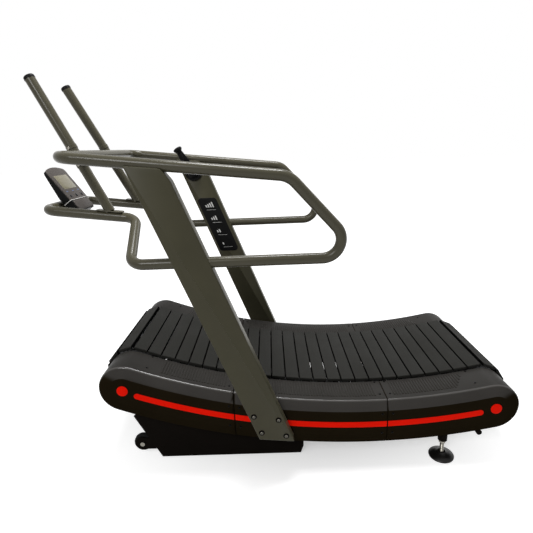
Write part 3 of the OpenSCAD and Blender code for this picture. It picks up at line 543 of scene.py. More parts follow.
def cover_plastic_painted_shade(name, tones, start, stop, gloss, specular, patch_scale=9.0):
    """Cover plastic with painted shade: it goes over into the near black of the wall where a face turns down.
    """
    finish = moulded(name, tones, gloss, cover_cells, cover_relief, specular, patch_scale)
    tree = finish.node_tree
    shader = tree.nodes["Principled BSDF"]
    normal = add_node(tree, "NewGeometry").outputs["Normal"]
    height = add_node(tree, "SeparateXYZ", {"Vector": normal}).outputs["Z"]
    # Painted shade: the colour blends towards the wall's near black as the face's normal turns from up to
    # down
    colours = {
        0: eased(tree, height, start, stop),
        6: add_tones(tree, wall_and_shade_tones, patch_scale, gloss)["Color"],
        7: shader.inputs["Base Color"].links[0].from_socket,
    }
    mix = add_node(tree, "Mix", colours, data_type="RGBA")
    set_inputs(tree, shader, {"Base Color": mix.outputs[2]})
    return finish


footrail_plastic = cover_plastic_painted_shade(
    "footrail_plastic", footrail_tones, start=0.35, stop=0.85, gloss=(0.32, 0.44), specular=0.02
)
# The band: painted sheen in its lighter tones, and painted shade where it turns down round the noses
band_plastic = cover_plastic_painted_shade(
    "band_plastic", band_tones_with_painted_sheen, start=0.2, stop=0.28, gloss=(0.32, 0.44), specular=0.0
)
# Painted highlight: the rounded outer edge takes the band's lighter tones as a light line, besides its real
# glossy reflection
glossy_edge_painted_highlight = cover_plastic_painted_shade(
    "glossy_edge_painted_highlight", band_tones_with_painted_sheen, start=0.3, stop=0.6, gloss=(0.16, 0.24), specular=0.45
)
wall_plastic = moulded("wall_plastic", wall_and_shade_tones, (0.36, 0.5), cover_cells, cover_relief, specular=0.0)


def softened(corners, radii, steps=5, closed=False):
    """The corners of a line or outline, each replaced by an arc of its radius."""
    points = []
    count = len(corners)
    for number, (corner, radius) in enumerate(zip(corners, radii)):
        at_end = not closed and number in (0, count - 1)
        if at_end or radius == 0.0:
            points.append(corner.copy())
            continue
        back = (corners[number - 1] - corner).normalized()
        forth = (corners[(number + 1) % count] - corner).normalized()
        half = back.angle(forth) / 2
        middle = corner + (back + forth).normalized() * radius / math.sin(half)
        first = corner + back * radius / math.tan(half) - middle
        last = corner + forth * radius / math.tan(half) - middle
        sweep = math.pi - 2 * half
        for step in range(steps + 1):
            share = step / steps
            part = math.sin((1 - share) * sweep) * first + math.sin(share * sweep) * last
            points.append(middle + part / math.sin(sweep))
    return points


def chain(name, points):
    """A run of edges through the points, left in edit mode and selected all over."""
    piece = start_piece(name, bpy.ops.mesh.primitive_plane_add, size=0.001, location=points[0])
    bpy.ops.mesh.merge(type="CENTER")
    for here, there in zip(points, points[1:]):
        bpy.ops.mesh.extrude_vertices_move(TRANSFORM_OT_translate={"value": there - here})
    bpy.ops.mesh.select_all(action="SELECT")
    return piece


def swept(name, line, angle, side, centre, turn, steps):
    """A line across the deck at an angle, turned into a sheet round a centre."""
    piece = chain(name, [on_deck(point.x, angle, side * point.y) for point in line])
    bpy.ops.mesh.spin(steps=steps, angle=turn, center=centre, axis=(0.0, 1.0, 0.0))
    apply_place()
    return piece


def cut_off(start, end, gap, fill=False):
    """Cuts the piece in edit mode off at its seams, each time half a gap short of the seam."""
    for cut, keep in ((start, 1.0), (end, -1.0)):
        if cut is not None:
            bpy.ops.mesh.select_all(action="SELECT")
            bpy.ops.mesh.bisect(
                plane_co=(cut + keep * gap / 2, 0.0, 0.0),
                plane_no=(keep, 0.0, 0.0),
                use_fill=fill,
                clear_inner=True,
            )


def cover_line(inset):
    """The section of a shell, as height and distance from the middle, or a line that lies inset inside it."""
    half = cover_half - inset
    inner = cover_in + inset
    edge = cover_edge - inset
    outer = cover_out - inset
    band = cover_half - cover_band
    corners = [
        Vector((half - cover_lip, inner)),
        Vector((half, inner)),
        Vector((half, edge)),
        Vector((band, outer)),
        Vector((0.0, outer)),
        Vector((-band, outer)),
        Vector((-half, edge)),
        Vector((-half, edge - cover_flange)),
    ]
    return softened(corners, [0.0, lip_round, edge_round, band_round, 0.0, band_round, edge_round, 0.0])


cover_section = cover_line(0.0)
cover_top_half = [point for point in cover_section if point.x >= 0.0]


def thicken(piece, wall):
    """Gives a sheet a wall on its inner side."""
    thick = piece.modifiers.new("wall", "SOLIDIFY")
    thick.thickness = wall
    thick.offset = -1.0
    bpy.ops.object.modifier_apply(modifier="wall")


def cover_shell(name, side, start, end, axle):
    """One shell: the section swept along the deck and cut off at its seams, with a nose round an axle."""
    begin, way = (rear_angle, -1) if axle is rear_axle else (front_angle, 1)
    shell = swept(name, cover_section, begin, side, deck_centre, way * deck_turn, deck_steps)
    if axle is not None:
        nose = swept(name + "_nose", cover_top_half, begin, side, axle, way * math.pi, nose_steps)
        shell = joined(name, [shell, nose])
    bpy.ops.object.mode_set(mode="EDIT")
    cut_off(start, end, seam_gap)
    end_piece(shell, footrail_plastic)
    thicken(shell, cover_wall)
    for finish in (band_plastic, wall_plastic, glossy_edge_painted_highlight):
        shell.data.materials.append(finish)
    # Faces that turn down take the near-black wall plastic: the side wall is black, and on the band below and
    # under the noses it is painted shade. Outward faces take the band's painted sheen, the rounded edge its
    # painted highlight.
    for face in shell.data.polygons:
        if face.normal.z < band_normal_z:
            face.material_index = 2
        elif side * face.normal.y > side_normal_y:
            face.material_index = 3 if face.normal.z > edge_normal_z else 1
    return shell


def seam_tongue(side, seam):
    """The lip of the middle shell that lies behind a seam."""
    turn = tongue_half / curve_radius
    angle = math.asin((seam - deck_centre.x) / curve_radius) - turn
    line = cover_line(cover_wall + tongue_gap)
    tongue = swept("seam_tongue", line, angle, side, deck_centre, 2 * turn, tongue_steps)
    end_piece(tongue, wall_plastic)
    thicken(tongue, tongue_thick)
    return tongue


for side_name, side in sides:
    for part_name, start, end, axle in (
        ("front", None, seam_front, front_axle),
        ("middle", seam_front, seam_rear, None),
        ("rear", seam_rear, None, rear_axle),
    ):
        place_name = part_name + "_" + side_name
        shell = cover_shell("cover_shell_" + place_name, side, start, end, axle)
        if axle is None:
            tongues = [seam_tongue(side, seam) for seam in (start, end)]
            shell = joined("cover_shell_" + place_name, [shell] + tongues)
        shown(shell, node_name="cover_" + place_name)

# Ribs of the footrails
# Low ribs across the top of the covers give the feet grip where the runner steps on and off. They are
# moulded in one with the shells, stop short of both ends, and get shorter towards the rear one.
rib_pitch = 0.0108
rib_wide = 0.0062
rib_high = 0.0018
rib_sunk = 0.0006
rib_round = 0.0008
rib_in = 0.25
rib_out = 0.338
rib_start = deck_centre.x - 0.79
rib_stop = deck_centre.x + 0.407
rib_slant = 0.054
rib_least = 0.1
rib_clear = 0.03
rib_model = start_piece("rib", bpy.ops.mesh.primitive_cube_add, size=1.0)
bpy.ops.transform.resize(value=(rib_wide, rib_out - rib_in, rib_high + rib_sunk))
bpy.ops.transform.translate(value=(0.0, 0.0, (rib_high - rib_sunk) / 2))
pick_above(rib_model, 0.0)
round_edges(rib_round)
# The ribs take the footrail plastic, so its painted shade darkens their flanks
end_piece(rib_model, footrail_plastic)
rib_reach = curve_radius - cover_half
rib_first = math.asin((rib_start - deck_centre.x) / rib_reach)
rib_last = math.asin((rib_stop - deck_centre.x) / rib_reach)
rib_count = int((rib_last - rib_first) * rib_reach / rib_pitch)
for side_name, side in sides:
    rib_places = []
    for number in range(rib_count + 1):
        rib_angle = rib_first + number * rib_pitch / rib_reach
        rib_point = on_deck(cover_half, rib_angle)
        rib_share = min(1.0, (rib_stop - rib_point.x) / rib_slant)
        rib_point.y = side * (rib_in + (rib_out - rib_in) * rib_share / 2)
        at_seam = min(abs(rib_point.x - seam_front), abs(rib_point.x - seam_rear)) < rib_clear
        if rib_share > rib_least and not at_seam:
            rib_turn = Matrix.Rotation(-rib_angle, 4, "Y")
            rib_length = Matrix.Diagonal((1.0, rib_share, 1.0, 1.0))
            rib_places.append(Matrix.Translation(rib_point) @ rib_turn @ rib_length)
    ribs = repeated("footrail_ribs_" + side_name, rib_model, rib_places)
    shown(ribs)
bpy.data.objects.remove(rib_model)

# Red strips and axle caps
# A thin glossy red strip lies in the side wall of each shell, with round outer ends, and a round red cap
# covers each end of the two axles. They are snapped into the covers.
strip_half = 0.012
strip_offset = -0.004
strip_front = front_angle + math.radians(1.05)
strip_rear = rear_angle - math.radians(1.1)
strip_break = 0.005
strip_sunk = 0.0012
strip_proud = 0.0012
strip_round = 0.0007
strip_steps = 60
strip_end_steps = 12
strip_smooth = 10.0
cap_radius = 0.0215
red_tones = ((0.88, 0.007, 0.0007), (0.98, 0.01, 0.0012))
red_plastic = moulded(
    "red_plastic", red_tones, gloss=(0.34, 0.46), cells=2200.0, depth=0.00002, specular=0.03
)
ground = Vector((0.0, 0.0, 0.0))
skyward = Vector((0.0, 0.0, 1.0))

# The cap from its middle to its back, as shares of its radius and heights
cap_profile = (
    (0.0, 0.0026), (0.55, 0.00245), (0.9, 0.002), (0.97, 0.0013), (1.0, 0.0), (1.0, -0.001), (0.0, -0.001)
)


def strip_outline(across):
    """The outline of a strip along the deck, with round ends."""
    first = strip_front + strip_half / curve_radius
    last = strip_rear - strip_half / curve_radius
    points = []
    for begin, end, way in ((first, last, 1), (last, first, -1)):
        for step in range(strip_steps + 1):
            angle = begin + (end - begin) * step / strip_steps
            points.append(on_deck(strip_offset - way * strip_half, angle, across))
        middle = on_deck(strip_offset, end, across)
        along = Vector((math.cos(end), 0.0, math.sin(end)))
        up = Vector((-math.sin(end), 0.0, math.cos(end)))
        for step in range(1, strip_end_steps):
            turn = math.pi * step / strip_end_steps
            points.append(middle + way * strip_half * (along * math.sin(turn) - up * math.cos(turn)))
    return points


def filled(name, outline):
    """A flat face inside a closed outline, left in edit mode and selected."""
    piece = chain(name, outline + [outline[0]])
    bpy.ops.mesh.remove_doubles(threshold=double_within)
    bpy.ops.mesh.select_all(action="SELECT")
    bpy.ops.mesh.edge_face_add()
    return piece


def draw_out(step):
    """Draws what is selected out by a step."""
    bpy.ops.mesh.extrude_region_move(TRANSFORM_OT_translate={"value": step})


strip_pieces = []
for side in (-1, 1):
    for start, end in ((None, seam_front), (seam_front, seam_rear), (seam_rear, None)):
        strip = filled("strip", strip_outline(side * (cover_out - strip_sunk)))
        draw_out((0.0, side * (strip_sunk + strip_proud), 0.0))
        pick(strip, "EDGE", lambda corners: min(abs(corner.y) for corner in corners) > cover_out)
        round_edges(strip_round)
        cut_off(start, end, strip_break, fill=True)
        strip_pieces.append(end_piece(strip, red_plastic, strip_smooth))
shown(joined("side_strips", strip_pieces), node_name="red_strips")


def turned_piece(name, section, centre, axis, finish, steps=48):
    """A section of radius and height, turned round an axis through the centre."""
    aside = axis.orthogonal().normalized()
    piece = chain(name, [centre + aside * radius + axis * height for radius, height in section])
    bpy.ops.mesh.spin(steps=steps, angle=2 * math.pi, center=centre, axis=axis)
    return end_piece(piece, finish)


def scaled(profile, radius, height=1.0):
    """A profile given in shares, at its real size."""
    return [(radius * out, height * up) for out, up in profile]


def sideways(point, side):
    """The place of a cap, screw or bolt that stands out from a side."""
    return Matrix.Translation(point) @ Matrix.Rotation(math.radians(-90 * side), 4, "X")


cap_model = turned_piece("cap", scaled(cap_profile, cap_radius), ground, skyward, red_plastic)
cap_places = []
for axle in (front_axle, rear_axle):
    for side in (-1, 1):
        cap_places.append(sideways(Vector((axle.x, side * cover_out, axle.z)), side))
shown(repeated("red_axle_caps", cap_model, cap_places), node_name="axle_caps")
bpy.data.objects.remove(cap_model)

# Cover screws
# Button-head screws with a socket hold the shells beside each seam, in the wall and in the footrail, and
# on top near both ends. They are black oxide steel, turned and pressed.
screw_radius = 0.0045
screw_high = 0.002
screw_beside = 0.02
screw_offsets = (0.04, -0.044)
top_screw_rows = (cover_in + 0.008, cover_in + 0.095)
top_screw_ends = (front_axle.x + 0.088, rear_axle.x - 0.065)
head_sides = 24
head_rim = 0.9
head_round = 0.45
head_round_most = 0.8
socket_wall = 0.12
socket_share = 0.5
oxide_tones = ((0.002, 0.002, 0.002), (0.006, 0.006, 0.006))
oxide_steel = bare_metal("black_oxide_steel", oxide_tones, gloss=(0.34, 0.5), depth=0.00002)


def button_head(name, radius, height, finish):
    """A round screw head with a round socket, standing on the ground plane."""
    settings = {"vertices": head_sides, "radius": radius, "depth": height}
    head = start_piece(name, bpy.ops.mesh.primitive_cylinder_add, **settings)
    bpy.ops.transform.translate(value=(0.0, 0.0, height / 2))
    pick_above(head, height * head_rim)
    round_edges(min(radius * head_round, height * head_round_most), 4)
    pick(head, "FACE", lambda corners: len(corners) == head_sides and corners[0].z > height * head_rim)
    bpy.ops.mesh.inset(thickness=radius * socket_wall)
    draw_out((0.0, 0.0, -height * socket_share))
    return end_piece(head, finish)


screw_model = button_head("screw", screw_radius, screw_high, oxide_steel)
seam_screws = [seam + step for seam in (seam_front, seam_rear) for step in (-screw_beside, screw_beside)]
screw_places = []
for side in (-1, 1):
    for screw_x in seam_screws:
        for offset in screw_offsets:
            screw_angle = math.asin((screw_x - deck_centre.x) / (curve_radius - offset))
            screw_places.append(sideways(on_deck(offset, screw_angle, side * cover_out), side))
    for screw_x in (*seam_screws, *top_screw_ends):
        screw_angle = math.asin((screw_x - deck_centre.x) / (curve_radius - cover_half))
        for row in top_screw_rows:
            screw_point = on_deck(cover_half, screw_angle, side * row)
            screw_places.append(Matrix.Translation(screw_point) @ Matrix.Rotation(-screw_angle, 4, "Y"))
screws = repeated("cover_button_screws", screw_model, screw_places)
shown(screws, node_name="cover_screws")
bpy.data.objects.remove(screw_model)

# Transport wheels and their bolts
# Two solid rubber wheels with dished faces hang ahead of the base, on shoulder bolts through the lugs of
# the base plates. They touch the floor only when the rear end is lifted.
wheel_radius = 0.038
wheel_half = 0.011
wheel_middle = 0.285
wheel_bore = 0.0062
wheel_bolt_edge = 0.0008

# Half a wheel's section, from the bore over its face to the tread
wheel_section = [
    (wheel_bore, wheel_half),
    (0.012, wheel_half),
    (0.0135, wheel_half - 0.003),
    (0.026, wheel_half - 0.004),
    (0.028, wheel_half - 0.0005),
    (0.034, wheel_half),
    (0.0365, wheel_half - 0.002),
    (wheel_radius, wheel_half - 0.006),
]
zinc_tones = ((0.2, 0.19, 0.165), (0.3, 0.285, 0.25))
zinc_steel = bare_metal("zinc_steel", zinc_tones, gloss=(0.2, 0.3), depth=0.00001)
wheel_outline = wheel_section + [(radius, -height) for radius, height in reversed(wheel_section)]
wheel_outline.append(wheel_outline[0])
wheel_axis = Vector((0.0, 1.0, 0.0))
for side_name, side in sides:
    wheel_centre = places["wheel_" + side_name + "_spin"].copy()
    wheel_centre.y = side * wheel_middle
    wheel = turned_piece("rubber_wheel_" + side_name, wheel_outline, wheel_centre, wheel_axis, black_rubber)
    shown(wheel, "wheel_" + side_name, "transport_wheel_" + side_name)
dress(("wheel_bolts",), zinc_steel, wheel_bolt_edge)

# Rear feet
# Each foot is a smooth plastic pad moulded round the head of a threaded stud. The stud screws into a
# sleeve of the frame and is locked by a hexagon nut.
pad_radius = 0.049
pad_top = 0.024
stud_radius = 0.008
stud_low = 0.023
stud_top = 0.14
stud_end = 0.0015
stud_sides = 20
thread_pitch = 0.002
thread_deep = 0.0009
nut_edge = 0.001

# The pad from the middle of its sole over its rim to the stud
foot_section = [
    (0.0, 0.0),
    (pad_radius - 0.003, 0.0),
    (pad_radius - 0.0008, 0.0009),
    (pad_radius, 0.003),
    (pad_radius, 0.0065),
    (pad_radius - 0.002, 0.0092),
    (0.03, 0.0155),
    (0.021, 0.0192),
    (0.0165, 0.0226),
    (0.0145, pad_top),
    (0.0, pad_top),
]
pad_tones = ((0.006, 0.0055, 0.005), (0.011, 0.0102, 0.0094))
pad_plastic = moulded(
    "pad_plastic", pad_tones, gloss=(0.2, 0.34), cells=1300.0, depth=0.00003, specular=0.22
)
stud_section = [(0.0, stud_low), (stud_radius - thread_deep, stud_low)]
for number in range(int((stud_top - pad_top) / thread_pitch)):
    thread_low = pad_top + number * thread_pitch
    stud_section.append((stud_radius - thread_deep, thread_low))
    stud_section.append((stud_radius, thread_low + thread_pitch / 2))
stud_section += [(stud_radius - stud_end, stud_top), (0.0, stud_top)]
for side_name in ("left", "right"):
    foot_low, foot_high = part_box("foot_" + side_name)
    foot_centre = Vector(((foot_low[0] + foot_high[0]) / 2, (foot_low[1] + foot_high[1]) / 2, 0.0))
    pad = turned_piece("foot_pad_" + side_name, foot_section, foot_centre, skyward, pad_plastic)
    shown(pad, "rear_foot_" + side_name, "foot_" + side_name)
    stud_name = "foot_stud_" + side_name
    stud = turned_piece(stud_name, stud_section, foot_centre, skyward, zinc_steel, stud_sides)
    shown(stud, "rear_foot_" + side_name)
dress(("foot_nuts",), zinc_steel, nut_edge)

# Uprights
# Two flat steel box sections lean forward and carry the rails. Each is folded and welded, has rounded
# edges and an olive-grey powder coat, and is held at its foot by four bolts through the cover.
upright_lean = math.radians(20.8)
upright_half = 0.06
upright_thick = 0.046
upright_in = 0.379
upright_foot = on_deck(-0.0538, math.radians(-7.74))
upright_along = Vector((-math.sin(upright_lean), 0.0, math.cos(upright_lean)))
upright_across = Vector((math.cos(upright_lean), 0.0, math.sin(upright_lean)))
foot_slope = 0.5
rail_top_z = 1.236
rail_fall = 0.116
cross_x = deck_centre.x - 1.037
weld_down = 0.008
top_corner_high = 0.04
top_corner_in = 0.014
upright_round = 0.004
upright_corner = 0.004
upright_rear_bend = 0.05
upright_top_bend = 0.02
upright_radii = [upright_corner, upright_corner, upright_rear_bend, upright_top_bend, upright_corner]
olive_tones = ((0.052, 0.0484, 0.0296), (0.067, 0.0624, 0.0387))
olive_paint = painted_steel(
    "olive_powder_coat", olive_tones, gloss=(0.28, 0.38), depth=0.000006, specular=0.1
)


def on_upright(across, along, side):
    """A point on the middle plane of an upright, measured from its foot."""
    point = upright_foot + upright_across * across + upright_along * along
    point.y = side * (upright_in + upright_thick / 2)
    return point


def upright_top(across):
    """The length along an upright, at a distance from its middle line, that meets the upper rail."""
    start = upright_foot + upright_across * across
    rail_height = rail_top_z - weld_down - rail_fall * (start.x - cross_x)
    return (rail_height - start.z) / (upright_along.z + rail_fall * upright_along.x)


def plate(name, outline, thickness, rounding, finish, segments=3):
    """A flat plate of an outline, drawn out along a vector, with rounded rims."""
    piece = filled(name, [point - thickness / 2 for point in outline])
    draw_out(thickness)
    way = thickness.normalized()
    half = thickness.length / 2
    pick(piece, "EDGE", lambda corners: abs((corners[1] - corners[0]).dot(way)) < half)
    round_edges(rounding, segments)
    return end_piece(piece, finish)


for side_name, side in sides:
    upright_corners = [
        on_upright(-upright_half, upright_half * foot_slope, side),
        on_upright(upright_half, -upright_half * foot_slope, side),
        on_upright(upright_half, upright_top(upright_half) - top_corner_high, side),
        on_upright(upright_half - top_corner_in, upright_top(upright_half - top_corner_in), side),
        on_upright(-upright_half, upright_top(-upright_half), side),
    ]
    upright_outline = softened(upright_corners, upright_radii, 6, closed=True)
    upright_step = Vector((0.0, upright_thick, 0.0))
    upright = plate(
        "leaning_upright_" + side_name, upright_outline, upright_step, upright_round, olive_paint
    )
    shown(upright, node_name="upright_" + side_name)

# Upright bolts
# Four domed bolts with a socket, each on a washer painted near black as the shade round its dome, hold the
# foot of each upright. They are dulled zinc, and go through the cover to threaded bosses on the side plate.
dome_radius = 0.0068
dome_high = 0.0052
dome_steps = 8
socket_radius = 0.0022
socket_deep = 0.003
washer_radius = 0.011
washer_high = 0.0015
washer_rim = 0.0006
shank_radius = 0.006
shank_end = 0.24
bolt_columns = (-0.04, 0.04)
bolt_rows = (0.031, 0.107)
bolt_slope = 0.61
bolt_sides = 32
dulled_tones = ((0.07, 0.066, 0.055), (0.12, 0.113, 0.097))
dulled_zinc = bare_metal("dulled_zinc", dulled_tones, gloss=(0.24, 0.36), depth=0.00001)
# Painted shade: the washers are near black with no reflection, standing for the dark rim and contact shade
# round each dome
washer_shade_tones = ((0.003, 0.003, 0.003), (0.006, 0.006, 0.006))
washer_painted_shade = moulded(
    "washer_painted_shade", washer_shade_tones, gloss=(0.55, 0.65), cells=1500.0, depth=0.00001, specular=0.0
)
socket_floor = washer_high + dome_high - socket_deep
dome_section = [(0.0, socket_floor), (socket_radius, socket_floor)]
dome_start = math.acos(socket_radius / dome_radius)
for step in range(dome_steps + 1):
    dome_turn = dome_start * (1 - step / dome_steps)
    dome_section.append((dome_radius * math.cos(dome_turn), washer_high + dome_high * math.sin(dome_turn)))
dome_section.append((0.0, washer_high))
shank_low = shank_end - upright_in - upright_thick
washer_section = [
    (0.0, washer_high),
    (washer_radius - washer_rim, washer_high),
    (washer_radius, washer_high - washer_rim),
    (washer_radius, 0.0),
    (shank_radius, 0.0),
    (shank_radius, shank_low),
    (0.0, shank_low),
]
dome = turned_piece("bolt", dome_section, ground, skyward, dulled_zinc, bolt_sides)
washer = turned_piece("washer", washer_section, ground, skyward, washer_painted_shade, bolt_sides)
bolt_model = joined("bolt", [dome, washer])
bolt_places = []
for side in (-1, 1):
    for across in bolt_columns:
        for along in bolt_rows:
            bolt_point = on_upright(across, along - across * bolt_slope, side)
            bolt_point.y = side * (upright_in + upright_thick)
            bolt_places.append(sideways(bolt_point, side))
bolts = repeated("upright_dome_bolts", bolt_model, bolt_places)
shown(bolts, node_name="upright_bolts")
bpy.data.objects.remove(bolt_model)

# Level plate
# A thin black plastic plate with round corners on the inner face of the right upright, below the lever.
# Its printed white bars stand for the four levels of resistance. It is glued on.
level_half = 0.049
level_top = 1.003
level_low = 0.723
level_thick = 0.0015
level_ahead = 0.002
level_corner = 0.016
level_round = 0.0005
level_count = 4
print_thick = 0.0003
print_round = 0.0001
row_first = 0.034
row_step = 0.066
bar_wide = 0.0065
bar_step = 0.0115
bar_short = 0.011
bar_grow = 0.0052
line_long = 0.046
line_high = 0.0012
line_below = 0.014
plate_tones = ((0.004, 0.004, 0.004), (0.008, 0.008, 0.008))
print_tones = ((0.62, 0.62, 0.6), (0.74, 0.74, 0.72))
black_plastic = moulded(
    "black_plastic", plate_tones, gloss=(0.3, 0.46), cells=1300.0, depth=0.00004, specular=0.06
)
white_print = moulded(
    "white_print", print_tones, gloss=(0.4, 0.6), cells=1500.0, depth=0.00001, specular=0.4
)


def upright_middle_x(height):
    """The middle of an upright at a height."""
    return upright_foot.x - (height - upright_foot.z) * math.tan(upright_lean)


def level_corners(left, right, low, high, depth):
    """The corners of a bar that leans with the level plate, measured from the upright's middle line."""
    corners = ((left, low), (right, low), (right, high), (left, high))
    return [
        Vector((upright_middle_x(height) - level_ahead + across, upright_in - depth, height))
        for across, height in corners
    ]


def rounded(corners, radius, steps=6):
    """A closed outline with all its corners on one radius."""
    return softened(corners, [radius] * len(corners), steps, closed=True)


def printed(across, height, width, length):
    """A printed white bar on the level plate."""
    corners = level_corners(across, across + width, height, height + length, level_thick)
    return plate("level_bar", corners, Vector((0.0, 2 * print_thick, 0.0)), print_round, white_print, 1)


level_outline = rounded(
    level_corners(-level_half, level_half, level_low, level_top, level_thick / 2), level_corner
)
level_step = Vector((0.0, level_thick, 0.0))
level_sign = plate("level_sign", level_outline, level_step, level_round, black_plastic, 2)
shown(level_sign, node_name="level_plate")
level_bars = []
bars_start = -((level_count - 1) * bar_step + bar_wide) / 2
for level_number in range(level_count):
    row_height = level_low + row_first + level_number * row_step
    for bar_number in range(level_number + 1):
        bar_high = bar_short + bar_grow * bar_number
        level_bars.append(printed(bars_start + bar_number * bar_step, row_height, bar_wide, bar_high))
    level_bars.append(printed(-line_long / 2, row_height - line_below, line_long, line_high))
shown(joined("level_print", level_bars))

# Handrails and front loop
# Bent steel tube in the olive-grey powder coat, its tones a lighter copy of the uprights' as painted light.
# Each handrail runs back from the front cross tube, slants down behind and comes forward to the upright; the
# front loop carries the console.
tube_radius = 0.019
tube_sides = 28
bend_degrees = 6
rail_y = upright_in + upright_thick / 2
slant_top_x = deck_centre.x - 0.282
rail_rear_x = deck_centre.x - 0.033
rail_low_z = 0.87
riser_foot_x = deck_centre.x - 0.832
riser_top_x = deck_centre.x - 0.863
loop_x = deck_centre.x - 1.215
loop_y = 0.175
loop_fall = 0.125
loop_ref_x = deck_centre.x - 1.077
loop_ref_z = 1.022
rail_bend = 0.064
slant_bend = 0.08
loop_bend = 0.05
rail_in = 0.004
# Painted light: the tube tones are a lighter copy of the uprights' olive paint, for the light the round tubes
# catch
tube_lit_copy_tones = ((0.056, 0.0513, 0.0325), (0.072, 0.0662, 0.0425))
tube_paint_lit_copy = painted_steel("olive_tube_coat_lit_copy", tube_lit_copy_tones, gloss=(0.2, 0.28), depth=0.000002, specular=0.19)


def rail_z(x):
    """The height of the upper rail."""
    return rail_top_z - rail_fall * (x - cross_x)


def loop_z(x):
    """The height of the front loop."""
    return loop_ref_z - loop_fall * (x - loop_ref_x)


def bent_tube(name, corners, bends):
    """A painted tube along straight legs, turned round each corner on its bend radius."""
    legs = [(there - here).normalized() for here, there in zip(corners, corners[1:])]
    piece = start_piece(
        name,
        bpy.ops.mesh.primitive_circle_add,
        vertices=tube_sides,
        radius=tube_radius,
        location=corners[0],
        rotation=legs[0].to_track_quat("Z", "Y").to_euler(),
    )
    reached = corners[0]
    for corner, bend, leg, following in zip(corners[1:], bends + [0.0], legs, legs[1:] + [legs[-1]]):
        turn = leg.angle(following)
        stop = corner - leg * bend * math.tan(turn / 2)
        draw_out(stop - reached)
        reached = stop
        if bend > 0.0:
            inward = (following - leg * leg.dot(following)).normalized()
            bpy.ops.mesh.spin(
                steps=max(4, int(math.degrees(turn) / bend_degrees)),
                angle=turn,
                center=stop + inward * bend,
                axis=following.cross(leg).normalized(),
            )
            reached = corner + following * bend * math.tan(turn / 2)
    bpy.ops.mesh.select_all(action="SELECT")
    bpy.ops.mesh.fill_holes(sides=0)
    return end_piece(piece, tube_paint_lit_copy)


for side_name, side in sides:
    upright_rear_x = upright_middle_x(rail_low_z) + upright_half - rail_in
    rail_corners = [
        Vector((cross_x, 0.0, rail_top_z)),
        Vector((cross_x, side * rail_y, rail_top_z)),
        Vector((slant_top_x, side * rail_y, rail_z(slant_top_x))),
        Vector((rail_rear_x, side * rail_y, rail_low_z)),
        Vector((upright_rear_x, side * rail_y, rail_low_z)),
    ]
    handrail = bent_tube("bent_handrail_" + side_name, rail_corners, [rail_bend, slant_bend, rail_bend])
    shown(handrail, node_name="handrail_" + side_name)

upright_front_x = upright_middle_x(rail_low_z) - upright_half + rail_in
loop_half = [
    Vector((upright_front_x, rail_y, rail_low_z)),
    Vector((riser_foot_x, rail_y, rail_low_z)),
    Vector((riser_top_x, loop_y, loop_z(riser_top_x))),
    Vector((loop_x, loop_y, loop_z(loop_x))),
]
loop_other = [Vector((corner.x, -corner.y, corner.z)) for corner in reversed(loop_half)]
bent_loop = bent_tube("bent_front_loop", loop_half + loop_other, [loop_bend] * 6)
shown(bent_loop, node_name="front_loop")

# Push bars
# Two straight tubes lean forward past the front cross tube. Each has a bolted collar above and below that
# tube, ends in a foot plate on the front loop, and is closed above by a black plastic cap.
push_lean = math.radians(26.0)
push_in = math.radians(3.4)
push_top_z = 1.51
push_ahead = 0.026
push_plate_long = 0.1
push_plate_thick = 0.004
push_plate_corner = 0.008
push_plate_round = 0.0008
collar_step = 0.034
collar_half = 0.008
collar_proud = 0.0016
collar_sunk = 0.001
collar_sides = 32
collar_screw = 0.0055
collar_screw_high = 0.004
collar_screw_turn = math.radians(10.0)
push_cap_high = 0.014
push_cap_radius = tube_radius + 0.001
push_plug_radius = 0.0162
push_plug_low = -0.016

# One end of a collar's section from its bore outwards, and a cap's section from its top to its plug
collar_end = [
    (tube_radius - collar_sunk, collar_half),
    (tube_radius + collar_proud * 0.6, collar_half),
    (tube_radius + collar_proud, collar_half * 0.9),
]
collar_section = [(radius, -height) for radius, height in collar_end] + collar_end[::-1]
collar_section.append(collar_section[0])
push_cap_section = [
    (0.0, push_cap_high),
    (0.013, push_cap_high - 0.0003),
    (0.0175, push_cap_high - 0.002),
    (0.0197, push_cap_high - 0.005),
    (push_cap_radius, push_cap_high - 0.009),
    (push_cap_radius, 0.0004),
    (tube_radius + 0.0004, 0.0),
    (push_plug_radius, 0.0),
    (push_plug_radius, push_plug_low),
    (0.0, push_plug_low),
]
push_slope = math.tan(push_lean)
push_drop = rail_top_z - loop_z(0.0) - tube_radius
push_foot_x = (cross_x - push_ahead + push_drop * push_slope) / (1 - loop_fall * push_slope)
push_foot_z = loop_z(push_foot_x) + tube_radius
push_length = (push_top_z - push_foot_z) / math.cos(push_lean)
cross_share = (rail_top_z - push_foot_z) / (push_top_z - push_foot_z)
plate_up = Vector((loop_fall, 0.0, 1.0)).normalized()
plate_end = Vector((1.0, 0.0, -loop_fall)).normalized() * push_plate_long / 2
plate_side = Vector((0.0, tube_radius, 0.0))
push_pieces = []
push_caps = []
